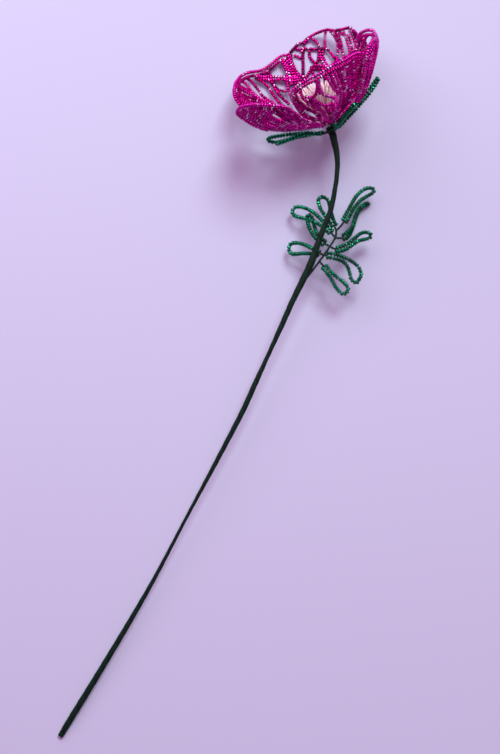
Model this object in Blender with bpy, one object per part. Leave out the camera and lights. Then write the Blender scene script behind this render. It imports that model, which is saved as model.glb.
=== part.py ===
"""A beaded wire flower on a taped wire stem, lying on its side.

The pieces: a steel stem wire in a sleeve of floral tape, five lace petals of magenta beads, a tuft of pale
fibre stamens, a calyx of five green bead loops and one leaf of nine green bead loops.

Frame: metres, +Z up from the surface that the flower lies on, +Y along the stem from its cut end towards the
bloom. The origin is the middle of the whole flower's box, on the surface. The sizes below are in millimetres.
"""

import math
import random

import bmesh
import bpy
import numpy as np

MM = 0.001

# Where the box's middle lies in the drawing frame, in which all the places below are given
ORIGIN = (-28.37, -15.69)

# Bead strands: outer sizes of the beads, and how finely a strand is drawn
PETAL_BEAD = 2.05
GREEN_BEAD = 2.45
PETAL_SIDES = 4
PETAL_FIT = 1.2           # widens a four-sided strand until it holds about as much as a round one
GREEN_SIDES = 5
GREEN_FIT = 1.1
PETAL_STEP = 8.4
GREEN_STEP = 6.4
WIRE = 0.5                # thickness of the bare petal and calyx wires
LEAF_WIRE = 1.3           # thickness of the leaf's twisted wire
TAIL_WIRE = 0.5           # thickness of the wires inside the tape

# Bloom: middle of its base, its axis, and the cup's outline as radius and height along the axis
BLOOM_BASE = np.array([-27.2, 142.4, 28.0])
AXIS_HEADING = 142.6
AXIS_RISE = 14.5
UPRIGHT_CUP = [(0, 0), (9, 3.3), (18, 7.0), (25.5, 11.6), (31, 18), (36, 25), (39.5, 31.5), (40.5, 38),
               (40, 45), (39, 52)]
OPEN_CUP = [(0, 0), (6, 3.0), (11, 4.8), (22, 8.6), (30, 12.2), (35.5, 16.5), (39.6, 22), (42.8, 28.5),
            (44.2, 35), (44.2, 42), (43.7, 49)]
OPEN_SIDE = -112          # azimuth of the side that has opened most

# Petals: azimuth from the surface's side, length along the cup, lean outwards at the rim, how far the lower
# and the upper edge lie outside the cup, and the roundness and slant of the outline
PETALS = [
    dict(azimuth=-41, length=66, lean=0.0, low_edge=-1.5, high_edge=-1.5, roundness=0.08, slant=0.05),
    dict(azimuth=32, length=65, lean=0.5, low_edge=1.5, high_edge=1.5, roundness=0.05, slant=0.0),
    dict(azimuth=98, length=62, lean=2.0, low_edge=-3.0, high_edge=1.5, roundness=0.10, slant=0.0),
    dict(azimuth=168, length=55, lean=-1.0, low_edge=-1.5, high_edge=-1.5, roundness=0.06, slant=0.0),
    dict(azimuth=-112, length=57, lean=0.5, low_edge=1.5, high_edge=1.5, roundness=0.22, slant=0.0),
]
PETAL_HALF_WIDTH = 38.5   # degrees round the axis
BASE_HALF_WIDTH = 34.0
EDGE_AT_FOOT = 0.45       # share of the edges' step that is left at the foot
PETAL_START = 7.2         # where the beads begin, along the cup from its middle
BELLY = 0.5
FLOOR = 1.0               # lowest centre line of a petal strand
GATHER_RADIUS = 1.4       # where a petal's wires meet
TAIL_RADIUS = 0.88        # their place round the stem wire
TAIL_DEPTH = 4.5

# Lace: each petal's strands as (s, t), where s runs across the petal and t from its base to its rim
LACES = [
    [
        [(-0.6, -0.05), (-0.78, 0.06), (-0.93, 0.2), (-1, 0.45), (-1.01, 0.7), (-1, 0.9), (-0.93, 0.985),
         (-0.75, 1.01), (-0.5, 1.01), (-0.2, 0.995), (0, 0.975), (0.15, 0.95), (0.3, 0.925), (0.45, 0.92),
         (0.6, 0.935), (0.75, 0.96), (0.9, 0.975), (0.98, 0.96), (1.01, 0.85), (1, 0.45), (0.93, 0.2),
         (0.78, 0.06), (0.6, -0.05)],
        [(-0.99, 0.8), (-0.93, 0.93), (-0.72, 0.972), (-0.5, 0.972), (-0.2, 0.957), (0, 0.938),
         (0.15, 0.914), (0.3, 0.888), (0.45, 0.884), (0.6, 0.9), (0.75, 0.925), (0.9, 0.94)],
        [(0.15, 0.905), (0.3, 0.865), (0.42, 0.84), (0.52, 0.81), (0.62, 0.78), (0.75, 0.745),
         (0.9, 0.715), (1, 0.69)],
        [(0.47, 0.91), (0.46, 0.865), (0.5, 0.82)],
        [(0.78, 0.95), (0.83, 0.88), (0.81, 0.8), (0.76, 0.74), (0.7, 0.67), (0.63, 0.61), (0.6, 0.53)],
        [(0.45, 0.83), (0.455, 0.76), (0.45, 0.69), (0.51, 0.64), (0.58, 0.61)],
        [(0.36, 0.86), (0.42, 0.8), (0.43, 0.73), (0.41, 0.66), (0.41, 0.58), (0.43, 0.48)],
        [(0.13, 0.9), (0.24, 0.84), (0.31, 0.77), (0.31, 0.7), (0.28, 0.63), (0.26, 0.55), (0.27, 0.4)],
        [(-0.08, 0.95), (0, 0.9), (0.05, 0.84), (0.07, 0.78), (0.06, 0.71), (0.1, 0.65), (0.14, 0.56)],
        [(-0.22, 0.95), (-0.14, 0.9), (-0.11, 0.84), (-0.09, 0.78), (-0.05, 0.72), (0.02, 0.65),
         (0.06, 0.56)],
        [(-0.46, 0.965), (-0.3, 0.87), (-0.18, 0.8), (-0.05, 0.72)],
        [(-0.62, 0.965), (-0.48, 0.85), (-0.32, 0.765), (-0.15, 0.69), (-0.04, 0.61), (0.02, 0.5)],
        [(-0.8, 0.95), (-0.62, 0.81), (-0.45, 0.72), (-0.27, 0.64), (-0.14, 0.56), (-0.08, 0.45)],
        [(-0.96, 0.88), (-0.8, 0.75), (-0.62, 0.66), (-0.44, 0.58), (-0.3, 0.49)],
        [(-1, 0.7), (-0.85, 0.61), (-0.68, 0.52), (-0.55, 0.42), (-0.5, 0.3), (-0.5, 0.14)],
        [(-0.27, 0.05), (-0.28, 0.2), (-0.3, 0.36), (-0.3, 0.49)],
        [(0.27, 0.05), (0.28, 0.2), (0.27, 0.4)],
        [(0, -0.05), (0, 0.12), (0, 0.3), (0.02, 0.5)],
        [(0.5, 0.14), (0.52, 0.3), (0.55, 0.42), (0.6, 0.53)],
        [(0.9, 0.95), (0.92, 0.85), (0.9, 0.72), (0.84, 0.6), (0.78, 0.45), (0.72, 0.28)],
        [(0.22, 0.865), (0.33, 0.832), (0.44, 0.8), (0.54, 0.77), (0.64, 0.742), (0.76, 0.707),
         (0.88, 0.675)],
        [(0.97, 0.93), (0.97, 0.83), (0.95, 0.74), (0.93, 0.6)],
        [(0.85, 0.94), (0.875, 0.86), (0.86, 0.79), (0.82, 0.72), (0.77, 0.64)],
        [(-0.37, 0.955), (-0.28, 0.9), (-0.2, 0.85), (-0.14, 0.8)],
        [(-0.55, 0.96), (-0.4, 0.855), (-0.25, 0.78), (-0.1, 0.705), (0, 0.63)],
        [(-0.7, 0.96), (-0.56, 0.83), (-0.38, 0.74), (-0.21, 0.665), (-0.08, 0.58)],
        [(-0.87, 0.945), (-0.71, 0.78), (-0.53, 0.69), (-0.35, 0.61)],
        [(-0.99, 0.79), (-0.83, 0.68), (-0.65, 0.59)],
    ],
    [
        [(-0.6, -0.05), (-0.78, 0.06), (-0.93, 0.2), (-1, 0.45), (-1.01, 0.7), (-1, 0.88), (-0.95, 0.95),
         (-0.8, 0.99), (-0.7, 1.005), (-0.6, 1.025), (-0.5, 1.01), (-0.4, 1.03), (-0.3, 1.037),
         (-0.1, 1.04), (0.1, 1.03), (0.25, 1), (0.45, 0.99), (0.58, 0.985), (0.65, 0.965), (0.7, 0.92),
         (0.82, 0.86), (0.95, 0.8), (1.01, 0.7), (1, 0.45), (0.93, 0.2), (0.78, 0.06), (0.6, -0.05)],
        [(-0.52, 0.985), (-0.43, 1.01), (-0.33, 1.022), (-0.25, 0.985), (-0.21, 0.9)],
        [(-0.65, 0.97), (-0.51, 0.945), (-0.33, 0.905), (-0.14, 0.875), (-0.06, 0.845), (-0.01, 0.79),
         (0.05, 0.74), (0.15, 0.7)],
        [(0.06, 1.03), (-0.04, 0.955), (-0.11, 0.87)],
        [(0.14, 1.02), (0.18, 0.95), (0.19, 0.885), (0.13, 0.79), (0.05, 0.745)],
        [(0.24, 1), (0.29, 0.92), (0.27, 0.85), (0.25, 0.785), (0.27, 0.72)],
        [(0.43, 0.98), (0.42, 0.9), (0.415, 0.83), (0.42, 0.76), (0.4, 0.66), (0.36, 0.5)],
        [(0.55, 0.97), (0.57, 0.88), (0.58, 0.78), (0.56, 0.66), (0.52, 0.5), (0.5, 0.3), (0.5, 0.14)],
        [(0.66, 0.94), (0.7, 0.82), (0.71, 0.7), (0.7, 0.55), (0.72, 0.36)],
        [(0.82, 0.86), (0.84, 0.72), (0.84, 0.55)],
        [(-0.51, 0.98), (-0.6, 0.91), (-0.67, 0.835), (-0.74, 0.76), (-0.78, 0.7), (-0.72, 0.55),
         (-0.72, 0.36)],
        [(-0.43, 0.92), (-0.49, 0.86), (-0.46, 0.8), (-0.4, 0.775), (-0.32, 0.81), (-0.25, 0.88)],
        [(-0.17, 0.87), (-0.22, 0.81), (-0.21, 0.755), (-0.17, 0.7), (-0.12, 0.66)],
        [(-0.82, 0.98), (-0.88, 0.895), (-0.96, 0.83), (-1, 0.765)],
        [(-0.8, 0.95), (-0.72, 0.915), (-0.66, 0.875)],
        [(-0.95, 0.835), (-0.86, 0.79), (-0.83, 0.75), (-0.77, 0.7)],
        [(-1, 0.67), (-0.8, 0.68), (-0.6, 0.735), (-0.44, 0.76), (-0.3, 0.725), (-0.12, 0.695),
         (0.05, 0.715), (0.27, 0.72), (0.45, 0.74), (0.7, 0.74), (1, 0.7)],
        [(-0.56, 0.73), (-0.5, 0.6), (-0.45, 0.45), (-0.45, 0.3)],
        [(-0.3, 0.72), (-0.3, 0.58), (-0.28, 0.4), (-0.27, 0.05)],
        [(-0.08, 0.69), (-0.08, 0.55), (-0.05, 0.35), (0, 0.15), (0, -0.05)],
        [(0.12, 0.7), (0.12, 0.55), (0.16, 0.4), (0.25, 0.3), (0.27, 0.05)],
        [(0.215, 0.98), (0.235, 0.91), (0.21, 0.84), (0.19, 0.81)],
        [(0.49, 0.94), (0.49, 0.88), (0.49, 0.8), (0.48, 0.72), (0.46, 0.6)],
        [(0.61, 0.96), (0.635, 0.88), (0.645, 0.76), (0.63, 0.62)],
        [(0.76, 0.87), (0.775, 0.76), (0.77, 0.62)],
        [(0.9, 0.82), (0.92, 0.7)],
        [(0.33, 0.99), (0.345, 0.945), (0.37, 0.93), (0.4, 0.97)],
        [(0.34, 0.74), (0.33, 0.64)],
        [(-0.26, 0.86), (-0.27, 0.8), (-0.26, 0.75), (-0.2, 0.69)],
        [(-0.56, 0.78), (-0.52, 0.745), (-0.44, 0.72), (-0.35, 0.7), (-0.22, 0.665), (0, 0.66),
         (0.2, 0.67)],
        [(-0.7, 0.99), (-0.64, 0.97), (-0.6, 0.94), (-0.62, 0.92)],
        [(-0.97, 0.93), (-0.9, 0.955), (-0.82, 0.955)],
    ],
    [
        [(-0.6, -0.05), (-0.78, 0.06), (-0.93, 0.2), (-1, 0.45), (-1.01, 0.7), (-1, 0.88), (-0.93, 0.96),
         (-0.8, 0.99), (-0.65, 0.99), (-0.5, 0.975), (-0.35, 0.945), (-0.2, 0.895), (-0.05, 0.85),
         (0.1, 0.83), (0.3, 0.85), (0.5, 0.9), (0.7, 0.93), (0.88, 0.93), (1, 0.86), (1.01, 0.7),
         (1, 0.45), (0.93, 0.2), (0.78, 0.06), (0.6, -0.05)],
        [(-0.98, 0.83), (-0.9, 0.925), (-0.76, 0.95), (-0.62, 0.945), (-0.48, 0.925), (-0.33, 0.895),
         (-0.18, 0.85), (-0.04, 0.805), (0.1, 0.785), (0.3, 0.805), (0.5, 0.855), (0.7, 0.885),
         (0.85, 0.88), (0.96, 0.82)],
        [(-0.5, 0.93), (-0.64, 0.885), (-0.79, 0.835), (-0.9, 0.79), (-1, 0.73)],
        [(-0.36, 0.9), (-0.42, 0.845), (-0.55, 0.785), (-0.64, 0.715), (-0.74, 0.655), (-0.85, 0.6),
         (-1, 0.56)],
        [(-0.26, 0.87), (-0.34, 0.79), (-0.44, 0.72), (-0.5, 0.64), (-0.54, 0.54), (-0.5, 0.36),
         (-0.5, 0.14)],
        [(-0.86, 0.8), (-0.8, 0.71), (-0.76, 0.62), (-0.76, 0.48), (-0.72, 0.3)],
        [(-0.16, 0.85), (-0.22, 0.75), (-0.3, 0.64), (-0.34, 0.5), (-0.28, 0.3), (-0.27, 0.05)],
        [(-0.02, 0.81), (-0.06, 0.7), (-0.12, 0.56), (-0.1, 0.4), (0, 0.12), (0, -0.05)],
        [(0.14, 0.79), (0.12, 0.66), (0.08, 0.52), (0.1, 0.36)],
        [(0.3, 0.81), (0.33, 0.7), (0.3, 0.56), (0.28, 0.44), (0.26, 0.3), (0.27, 0.05)],
        [(0.46, 0.58), (0.48, 0.36), (0.5, 0.14)],
        [(0.6, 0.87), (0.57, 0.74), (0.6, 0.62), (0.62, 0.5), (0.62, 0.38)],
        [(0.84, 0.88), (0.86, 0.74), (0.82, 0.62), (0.8, 0.5), (0.74, 0.3)],
        [(0.3, 0.6), (0.46, 0.58), (0.62, 0.6), (0.8, 0.62), (1, 0.6)],
        [(-0.09, 0.83), (-0.14, 0.73), (-0.21, 0.61)],
        [(0.06, 0.79), (0.03, 0.68)],
        [(0.22, 0.79), (0.21, 0.67)],
        [(0.9, 0.86), (0.91, 0.7)],
    ],
    [
        [(-0.6, -0.05), (-0.78, 0.06), (-0.93, 0.2), (-1, 0.45), (-1.01, 0.7), (-1, 0.9), (-0.94, 0.97),
         (-0.75, 0.99), (-0.5, 0.985), (-0.25, 0.98), (0, 0.985), (0.25, 0.98), (0.5, 0.985),
         (0.75, 0.99), (0.94, 0.97), (1, 0.9), (1.03, 0.7), (1.08, 0.45), (1.05, 0.2), (0.8, 0.06),
         (0.6, -0.05)],
        [(-0.98, 0.86), (-0.92, 0.92), (-0.75, 0.945), (-0.5, 0.94), (-0.25, 0.935), (0, 0.94),
         (0.25, 0.94), (0.5, 0.94), (0.75, 0.945), (0.9, 0.92), (0.96, 0.86)],
        [(0.86, 0.93), (0.9, 0.87), (0.9, 0.81), (0.87, 0.735), (0.85, 0.66), (0.8, 0.58), (0.72, 0.45),
         (0.7, 0.26)],
        [(0.73, 0.94), (0.77, 0.88), (0.78, 0.81), (0.75, 0.735), (0.72, 0.67), (0.68, 0.6), (0.6, 0.5)],
        [(0.74, 0.82), (0.66, 0.765), (0.58, 0.745), (0.5, 0.76), (0.43, 0.82), (0.39, 0.87),
         (0.38, 0.93)],
        [(0.32, 0.93), (0.36, 0.87), (0.37, 0.8), (0.34, 0.73), (0.3, 0.69), (0.22, 0.655), (0.14, 0.615),
         (0.07, 0.57)],
        [(0.16, 0.93), (0.14, 0.86), (0.1, 0.79), (0.07, 0.72), (0, 0.66), (-0.03, 0.58)],
        [(0.62, 0.75), (0.58, 0.69), (0.51, 0.635), (0.44, 0.575), (0.36, 0.545), (0.24, 0.53),
         (0.12, 0.52)],
        [(0.54, 0.65), (0.56, 0.56), (0.5, 0.42), (0.5, 0.3), (0.5, 0.14)],
        [(0.38, 0.54), (0.34, 0.42), (0.28, 0.28), (0.27, 0.05)],
        [(0.18, 0.52), (0.15, 0.4), (0.12, 0.28)],
        [(-0.02, 0.93), (-0.05, 0.84), (-0.08, 0.75), (-0.1, 0.65), (-0.08, 0.52), (-0.03, 0.38),
         (0, 0.15), (0, -0.05)],
        [(-0.17, 0.93), (-0.2, 0.84), (-0.18, 0.74), (-0.22, 0.62), (-0.22, 0.48), (-0.2, 0.34)],
        [(-0.34, 0.93), (-0.35, 0.82), (-0.34, 0.7), (-0.36, 0.56), (-0.3, 0.36), (-0.27, 0.05)],
        [(-0.5, 0.93), (-0.52, 0.8), (-0.5, 0.66), (-0.5, 0.5), (-0.5, 0.3), (-0.5, 0.14)],
        [(-0.66, 0.94), (-0.68, 0.8), (-0.66, 0.66), (-0.64, 0.5), (-0.66, 0.34)],
        [(-0.82, 0.94), (-0.84, 0.8), (-0.82, 0.64), (-0.8, 0.48)],
        [(0.95, 0.86), (0.96, 0.76), (0.94, 0.62)],
        [(0.45, 0.81), (0.41, 0.77), (0.385, 0.74)],
        [(0.68, 0.74), (0.65, 0.68), (0.6, 0.6)],
        [(0.76, 0.72), (0.73, 0.64)],
        [(0.2, 0.94), (0.19, 0.9), (0.17, 0.87)],
        [(0.08, 0.93), (0.06, 0.85), (0.02, 0.77), (-0.02, 0.7)],
        [(-0.1, 0.93), (-0.12, 0.85), (-0.11, 0.76), (-0.15, 0.66)],
        [(-0.25, 0.93), (-0.26, 0.86)],
        [(-0.3, 0.8), (-0.26, 0.73), (-0.29, 0.62)],
        [(-0.42, 0.93), (-0.43, 0.82), (-0.42, 0.7), (-0.43, 0.56)],
        [(-0.58, 0.94), (-0.6, 0.82), (-0.58, 0.68)],
        [(-0.74, 0.94), (-0.76, 0.82), (-0.74, 0.66)],
        [(-0.9, 0.92), (-0.92, 0.8), (-0.9, 0.64)],
        [(1.01, 0.66), (1, 0.48), (0.96, 0.3), (0.86, 0.14)],
    ],
    [
        [(-0.6, -0.05), (-0.8, 0.06), (-1.08, 0.2), (-1.1, 0.45), (-1.05, 0.7), (-1, 0.9), (-0.94, 0.98),
         (-0.75, 0.995), (-0.5, 0.99), (-0.25, 0.98), (0, 0.97), (0.25, 0.96), (0.5, 0.96), (0.75, 0.965),
         (0.94, 0.95), (1, 0.88), (1.01, 0.7), (1, 0.45), (0.93, 0.2), (0.78, 0.06), (0.6, -0.05)],
        [(-0.98, 0.86), (-0.9, 0.94), (-0.75, 0.95), (-0.5, 0.945), (-0.25, 0.935), (0, 0.925),
         (0.25, 0.915), (0.5, 0.925), (0.75, 0.93), (0.9, 0.9), (0.96, 0.84)],
        [(-0.82, 0.95), (-0.84, 0.84), (-0.84, 0.7), (-0.82, 0.54), (-0.74, 0.34)],
        [(-0.64, 0.945), (-0.7, 0.85), (-0.72, 0.74), (-0.7, 0.6), (-0.62, 0.42)],
        [(-0.5, 0.945), (-0.52, 0.85), (-0.55, 0.75), (-0.58, 0.64), (-0.54, 0.5), (-0.5, 0.3),
         (-0.5, 0.14)],
        [(-0.34, 0.94), (-0.38, 0.83), (-0.42, 0.7), (-0.42, 0.56), (-0.38, 0.4)],
        [(-0.18, 0.93), (-0.24, 0.82), (-0.28, 0.68), (-0.3, 0.5), (-0.26, 0.3), (-0.27, 0.05)],
        [(-0.02, 0.93), (-0.08, 0.8), (-0.12, 0.64), (-0.12, 0.46)],
        [(0.14, 0.92), (0.1, 0.78), (0.06, 0.6), (0.02, 0.4), (0, 0.15), (0, -0.05)],
        [(0.32, 0.92), (0.28, 0.76), (0.26, 0.58), (0.25, 0.36), (0.27, 0.05)],
        [(0.5, 0.92), (0.48, 0.76), (0.46, 0.56), (0.48, 0.34), (0.5, 0.14)],
        [(0.68, 0.93), (0.66, 0.76), (0.64, 0.56)],
        [(0.84, 0.92), (0.84, 0.74), (0.8, 0.5), (0.74, 0.3)],
        [(-1, 0.6), (-0.84, 0.66), (-0.7, 0.67), (-0.56, 0.7)],
        [(-0.91, 0.93), (-0.92, 0.82), (-0.92, 0.68)],
        [(-0.73, 0.95), (-0.77, 0.85), (-0.78, 0.73), (-0.76, 0.6)],
        [(-0.57, 0.945), (-0.6, 0.88), (-0.62, 0.84)],
        [(-0.42, 0.94), (-0.45, 0.85), (-0.48, 0.75), (-0.5, 0.64)],
        [(-0.26, 0.935), (-0.31, 0.83), (-0.35, 0.7)],
        [(-0.1, 0.93), (-0.16, 0.82), (-0.2, 0.68)],
        [(0.06, 0.92), (0.01, 0.8), (-0.03, 0.64)],
        [(0.23, 0.92), (0.19, 0.78), (0.16, 0.6)],
        [(0.41, 0.92), (0.38, 0.76), (0.36, 0.58)],
        [(0.59, 0.925), (0.57, 0.76), (0.55, 0.56)],
        [(0.76, 0.925), (0.75, 0.76), (0.72, 0.56)],
        [(0.92, 0.86), (0.92, 0.74), (0.9, 0.56)],
        [(-0.97, 0.92), (-0.98, 0.7), (-1, 0.5), (-0.97, 0.3), (-0.88, 0.14)],
    ],
]

# Stem: centre line and radius over the tape, from the cut end to the bloom
STEM = [
    (1.9, -231.0, 1.30, 1.55), (2.1, -226.0, 1.55, 1.70), (2.6, -216.0, 2.8, 1.78), (4.3, -185.3, 4.6, 1.63),
    (5.9, -148.0, 6.9, 1.38), (6.4, -121.8, 8.6, 1.10), (6.0, -86.0, 11.0, 0.93), (5.9, -50.0, 13.6, 1.27),
    (5.5, -19.6, 15.8, 1.48), (4.3, -2.0, 17.2, 1.48), (3.2, 14.7, 18.4, 1.18), (1.9, 34.0, 19.9, 1.48),
    (0.8, 48.7, 21.0, 1.60), (-0.1, 71.1, 22.3, 1.95), (-2.1, 84.0, 23.2, 1.66), (-3.4, 93.8, 23.9, 1.50),
    (-4.7, 103.4, 24.6, 1.42), (-8.3, 114.9, 25.4, 1.28), (-11.2, 122.3, 25.9, 1.28),
    (-14.7, 129.0, 26.3, 1.45), (-18.4, 133.9, 26.6, 1.70),
]
STEM_TOP = [(-5.5, 1.98), (-0.4, 2.05)]   # height on the bloom's axis and radius
STEM_STEP = 10.0
STEM_WIRE_RADIUS = 0.45
STEM_WIRE_TOP = 3.4       # how far the wire stands up into the bloom
WIRE_CHANNEL = 0.68
TAIL_CAVITY = 1.45
TAIL_CAVITY_DEPTH = 5.5
TAPE_END = 1.5            # tape folded over the wire's cut end

# Leaf: its wire, the places where pairs of loops branch off, and the loops
LEAF_TAIL_START = 36.0    # along +Y, where the leaf's wire begins inside the tape
LEAF_TAIL_SIDE = 0.93
LEAF_EXIT = (2.2, 66.5, 20.9)
LEAF_NODES = [(3.5, 75.0, 20.3), (4.1, 79.3, 20.1), (4.7, 85.2, 19.8), (5.0, 90.8, 19.6), (3.7, 94.6, 19.4)]
# Each loop: node, heading at its start, middle and end, length, height of its tip, half width, where it
# opens, roll about its length, and bare wire before the beads
LEAF_LOOPS = [
    (4, 68, 88, 30, 33.5, 9.0, 2.0, 0.35, 10, 6.0),
    (3, 8, 100, 36, 31.5, 1.15, 2.1, 0.20, 80, 3.5),
    (2, -17, 66, 10, 26.2, 12.0, 2.0, 0.55, 20, 3.0),
    (1, 25, -6, -80, 27.0, 15.0, 3.1, 0.38, 8, 0.8),
    (0, -21, -20, -20, 23.2, 16.0, 2.7, 0.30, 12, 3.0),
    (4, 142, 142, 119, 21.0, 12.0, 3.3, 0.10, 25, 2.0),
    (3, 158, 170, 208, 29.6, 7.0, 3.0, 0.20, 5, 3.0),
    (2, 189, 146, 118, 23.0, 9.0, 1.9, 0.15, 30, 2.5),
    (1, 194, 190, 222, 20.0, 7.0, 3.2, 0.12, 5, 2.0),
]

# Calyx: a wire ring round the taped stem, and loops given by azimuth, tip radius and height, height halfway,
# half width and roll
CALYX_RING_HEIGHT = -2.6
CALYX_RING_RADIUS = 2.75
CALYX_RING_WIRE = 0.8
CALYX_LOOPS = [
    (-86, 30, 2.6, 1.6, 1.9, 10), (-62, 37, 4.6, 1.2, 2.6, 50), (90, 35, 12.8, 3.1, 1.6, 15),
    (150, 28, 8.0, 2.2, 1.9, 10), (15, 24, 3.4, -0.6, 1.9, 0),
]
CALYX_BARE = 5.0          # radius at which the beads begin

# Tuft of stamens: a bound knot on the stem wire and the fibres that fan out of it
KNOT_RADIUS = 2.3
KNOT_LOW = 2.7
KNOT_HIGH = 7.2
STAMENS = 48
STAMEN_SPREAD = 38
STAMEN_LENGTH = 21.0
STAMEN_THICKNESS = 1.0
GOLDEN_ANGLE = 137.508


# Curves

def smooth_curve(points, spacing):
    """Even steps along a smooth curve through the points, which may carry a radius as a fourth number."""
    points = np.array(points, float)
    dense = [points[0]]
    if len(points) == 2:
        dense = list(np.linspace(points[0], points[1], 40))
    else:
        ends = [2 * points[0] - points[1], *points, 2 * points[-1] - points[-2]]
        for a, b, c, d in zip(ends, ends[1:], ends[2:], ends[3:]):
            for step in range(1, 25):
                t = step / 24
                dense.append(0.5 * (2 * b + (c - a) * t + (2 * a - 5 * b + 4 * c - d) * t**2
                                    + (3 * b - a - 3 * c + d) * t**3))
    dense = np.array(dense)
    steps = np.linalg.norm(np.diff(dense[:, :3], axis=0), axis=1)
    along = np.concatenate([[0.0], np.cumsum(steps)])
    count = max(1, round(along[-1] / spacing))
    wanted = np.linspace(0.0, along[-1], count + 1)
    return np.array([np.interp(wanted, along, column) for column in dense.T]).T


def smooth_step(x):
    x = min(max(x, 0.0), 1.0)
    return x * x * (3 - 2 * x)


def unit(vector):
    vector = np.array(vector, float)
    return vector / np.linalg.norm(vector)


# The bloom's own directions

heading = math.radians(AXIS_HEADING)
rise = math.radians(AXIS_RISE)
AXIS = np.array([math.cos(heading) * math.cos(rise), math.sin(heading) * math.cos(rise), math.sin(rise)])
SIDEWAYS = np.array([math.sin(heading), -math.cos(heading), 0.0])
DOWNWARDS = np.cross(AXIS, SIDEWAYS)


def bloom_point(azimuth, radius, height):
    """A point round the bloom's axis. Azimuth 0 faces the surface."""
    turn = math.radians(azimuth)
    return BLOOM_BASE + AXIS * height + (DOWNWARDS * math.cos(turn) + SIDEWAYS * math.sin(turn)) * radius


UPRIGHT_LINE = smooth_curve(UPRIGHT_CUP, 1.0)
OPEN_LINE = smooth_curve(OPEN_CUP, 1.0)


def cup_outline(azimuth, along):
    """Radius and height of the cup at a length along its outline from the middle."""
    openness = (0.5 + 0.5 * math.cos(math.radians(azimuth - OPEN_SIDE))) ** 3
    at = []
    for line in (UPRIGHT_LINE, OPEN_LINE):
        place = min(max(along, 0.0), len(line) - 1.001)
        low = int(place)
        at.append(line[low] * (1 - place + low) + line[low + 1] * (place - low))
    return at[0] * (1 - openness) + at[1] * openness


def petal_point(petal, s, t):
    """A point of a petal: s runs from -1 to 1 across it and t from 0 to 1 along it."""
    half = BASE_HALF_WIDTH + (PETAL_HALF_WIDTH - BASE_HALF_WIDTH) * smooth_step(t / 0.35)
    azimuth = petal["azimuth"] + s * half
    edge = petal["low_edge"] if s < 0 else petal["high_edge"]
    grown = EDGE_AT_FOOT + (1 - EDGE_AT_FOOT) * smooth_step(t / 0.2)
    outside = edge * grown * smooth_step((abs(s) - 0.3) / 0.36)
    outside += BELLY * (1 - s * s) * smooth_step(t / 0.5)
    reach = (petal["length"] - PETAL_START) * (1 - petal["roundness"] * s * s + petal["slant"] * s)
    along = PETAL_START + t * reach
    radius, height = cup_outline(azimuth, along)
    next_radius, next_height = cup_outline(azimuth, along + 1.0)
    slope = unit([next_radius - radius, next_height - height])
    radius += petal["lean"] * t * t + slope[1] * outside
    height -= slope[0] * outside
    return rest_on_surface(bloom_point(azimuth, radius, height), outside)


def rest_on_surface(point, outside):
    """Bends a low petal up where it meets the surface, an inner edge above the outer one beside it."""
    level = FLOOR + max(0.0, -outside) * 1.72
    softness = 1.2
    depth = (point[2] - level) / softness
    if depth < 20:
        point[2] = level + softness * math.log1p(math.exp(depth))
    return point


def petal_strands(petal, number):
    """The centre lines of a petal's strands."""
    lines = []
    for strand in LACES[number - 1]:
        flat = smooth_curve(strand, 0.02)
        lines.append(smooth_curve([petal_point(petal, s, t) for s, t in flat], PETAL_STEP))
    return lines


def petal_wires(petal):
    """The bare wires that gather a petal's strands and go down beside the stem wire as one tail."""
    azimuth = petal["azimuth"]
    gather = bloom_point(azimuth, GATHER_RADIUS, 0.9)
    wires = []
    for s in (-0.6, 0.0, 0.6):
        start = petal_point(petal, s, -0.04)
        middle = (start + gather) / 2 - AXIS * 0.2
        wires.append(smooth_curve([start, middle, gather], 2.5))
    tail = [gather, *(bloom_point(azimuth, TAIL_RADIUS, height) for height in (-0.6, -1.5, -TAIL_DEPTH))]
    return wires, smooth_curve(tail, 2.0)


def bead_loop(centre, width, opens, roll, axis_up):
    """Two strands that start side by side, part, and meet again round the tip."""
    touching = GREEN_BEAD * 0.46
    widest = 0.8
    cap = 0.85
    opens_fully = 0.35
    tangents = np.gradient(centre, axis=0)
    sides = [[], []]
    for i, point in enumerate(centre):
        t = i / (len(centre) - 1)
        along = unit(tangents[i])
        flat = unit(np.cross(axis_up, along))
        upright = np.cross(along, flat)
        turn = math.radians(roll) * smooth_step(t / opens_fully)
        across = flat * math.cos(turn) + upright * math.sin(turn)
        half = touching + (width - touching) * smooth_step((t - opens) / (widest - opens))
        if t > cap:
            half *= math.sqrt(max(0.0, 1 - ((t - cap) / (1 - cap)) ** 2))
        sides[0].append(point + across * half)
        sides[1].append(point - across * half)
    return [np.array(side) for side in sides]


def leaf_loop(row):
    """A leaf loop's bare wire and its two strands."""
    node, start_heading, middle_heading, end_heading, length, tip, width, opens, roll, bare = row
    steps = 60
    place = np.array(LEAF_NODES[node], float)
    start_height = place[2]
    line = [place.copy()]
    for i in range(steps):
        t = (i + 0.5) / steps
        turn = (start_heading * (1 - t) * (1 - 2 * t) + middle_heading * 4 * t * (1 - t)
                + end_heading * t * (2 * t - 1))
        place[0] += math.cos(math.radians(turn)) * length / steps
        place[1] += math.sin(math.radians(turn)) * length / steps
        fall = smooth_step((i + 1) / steps * 0.85) / smooth_step(0.85)
        place[2] = start_height + (tip - start_height) * fall
        line.append(place.copy())
    cut = round(bare / length * steps)
    strands = bead_loop(np.array(line[cut:]), width, opens, roll, np.array([0.0, 0.0, 1.0]))
    return line[:cut + 3], strands


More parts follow.
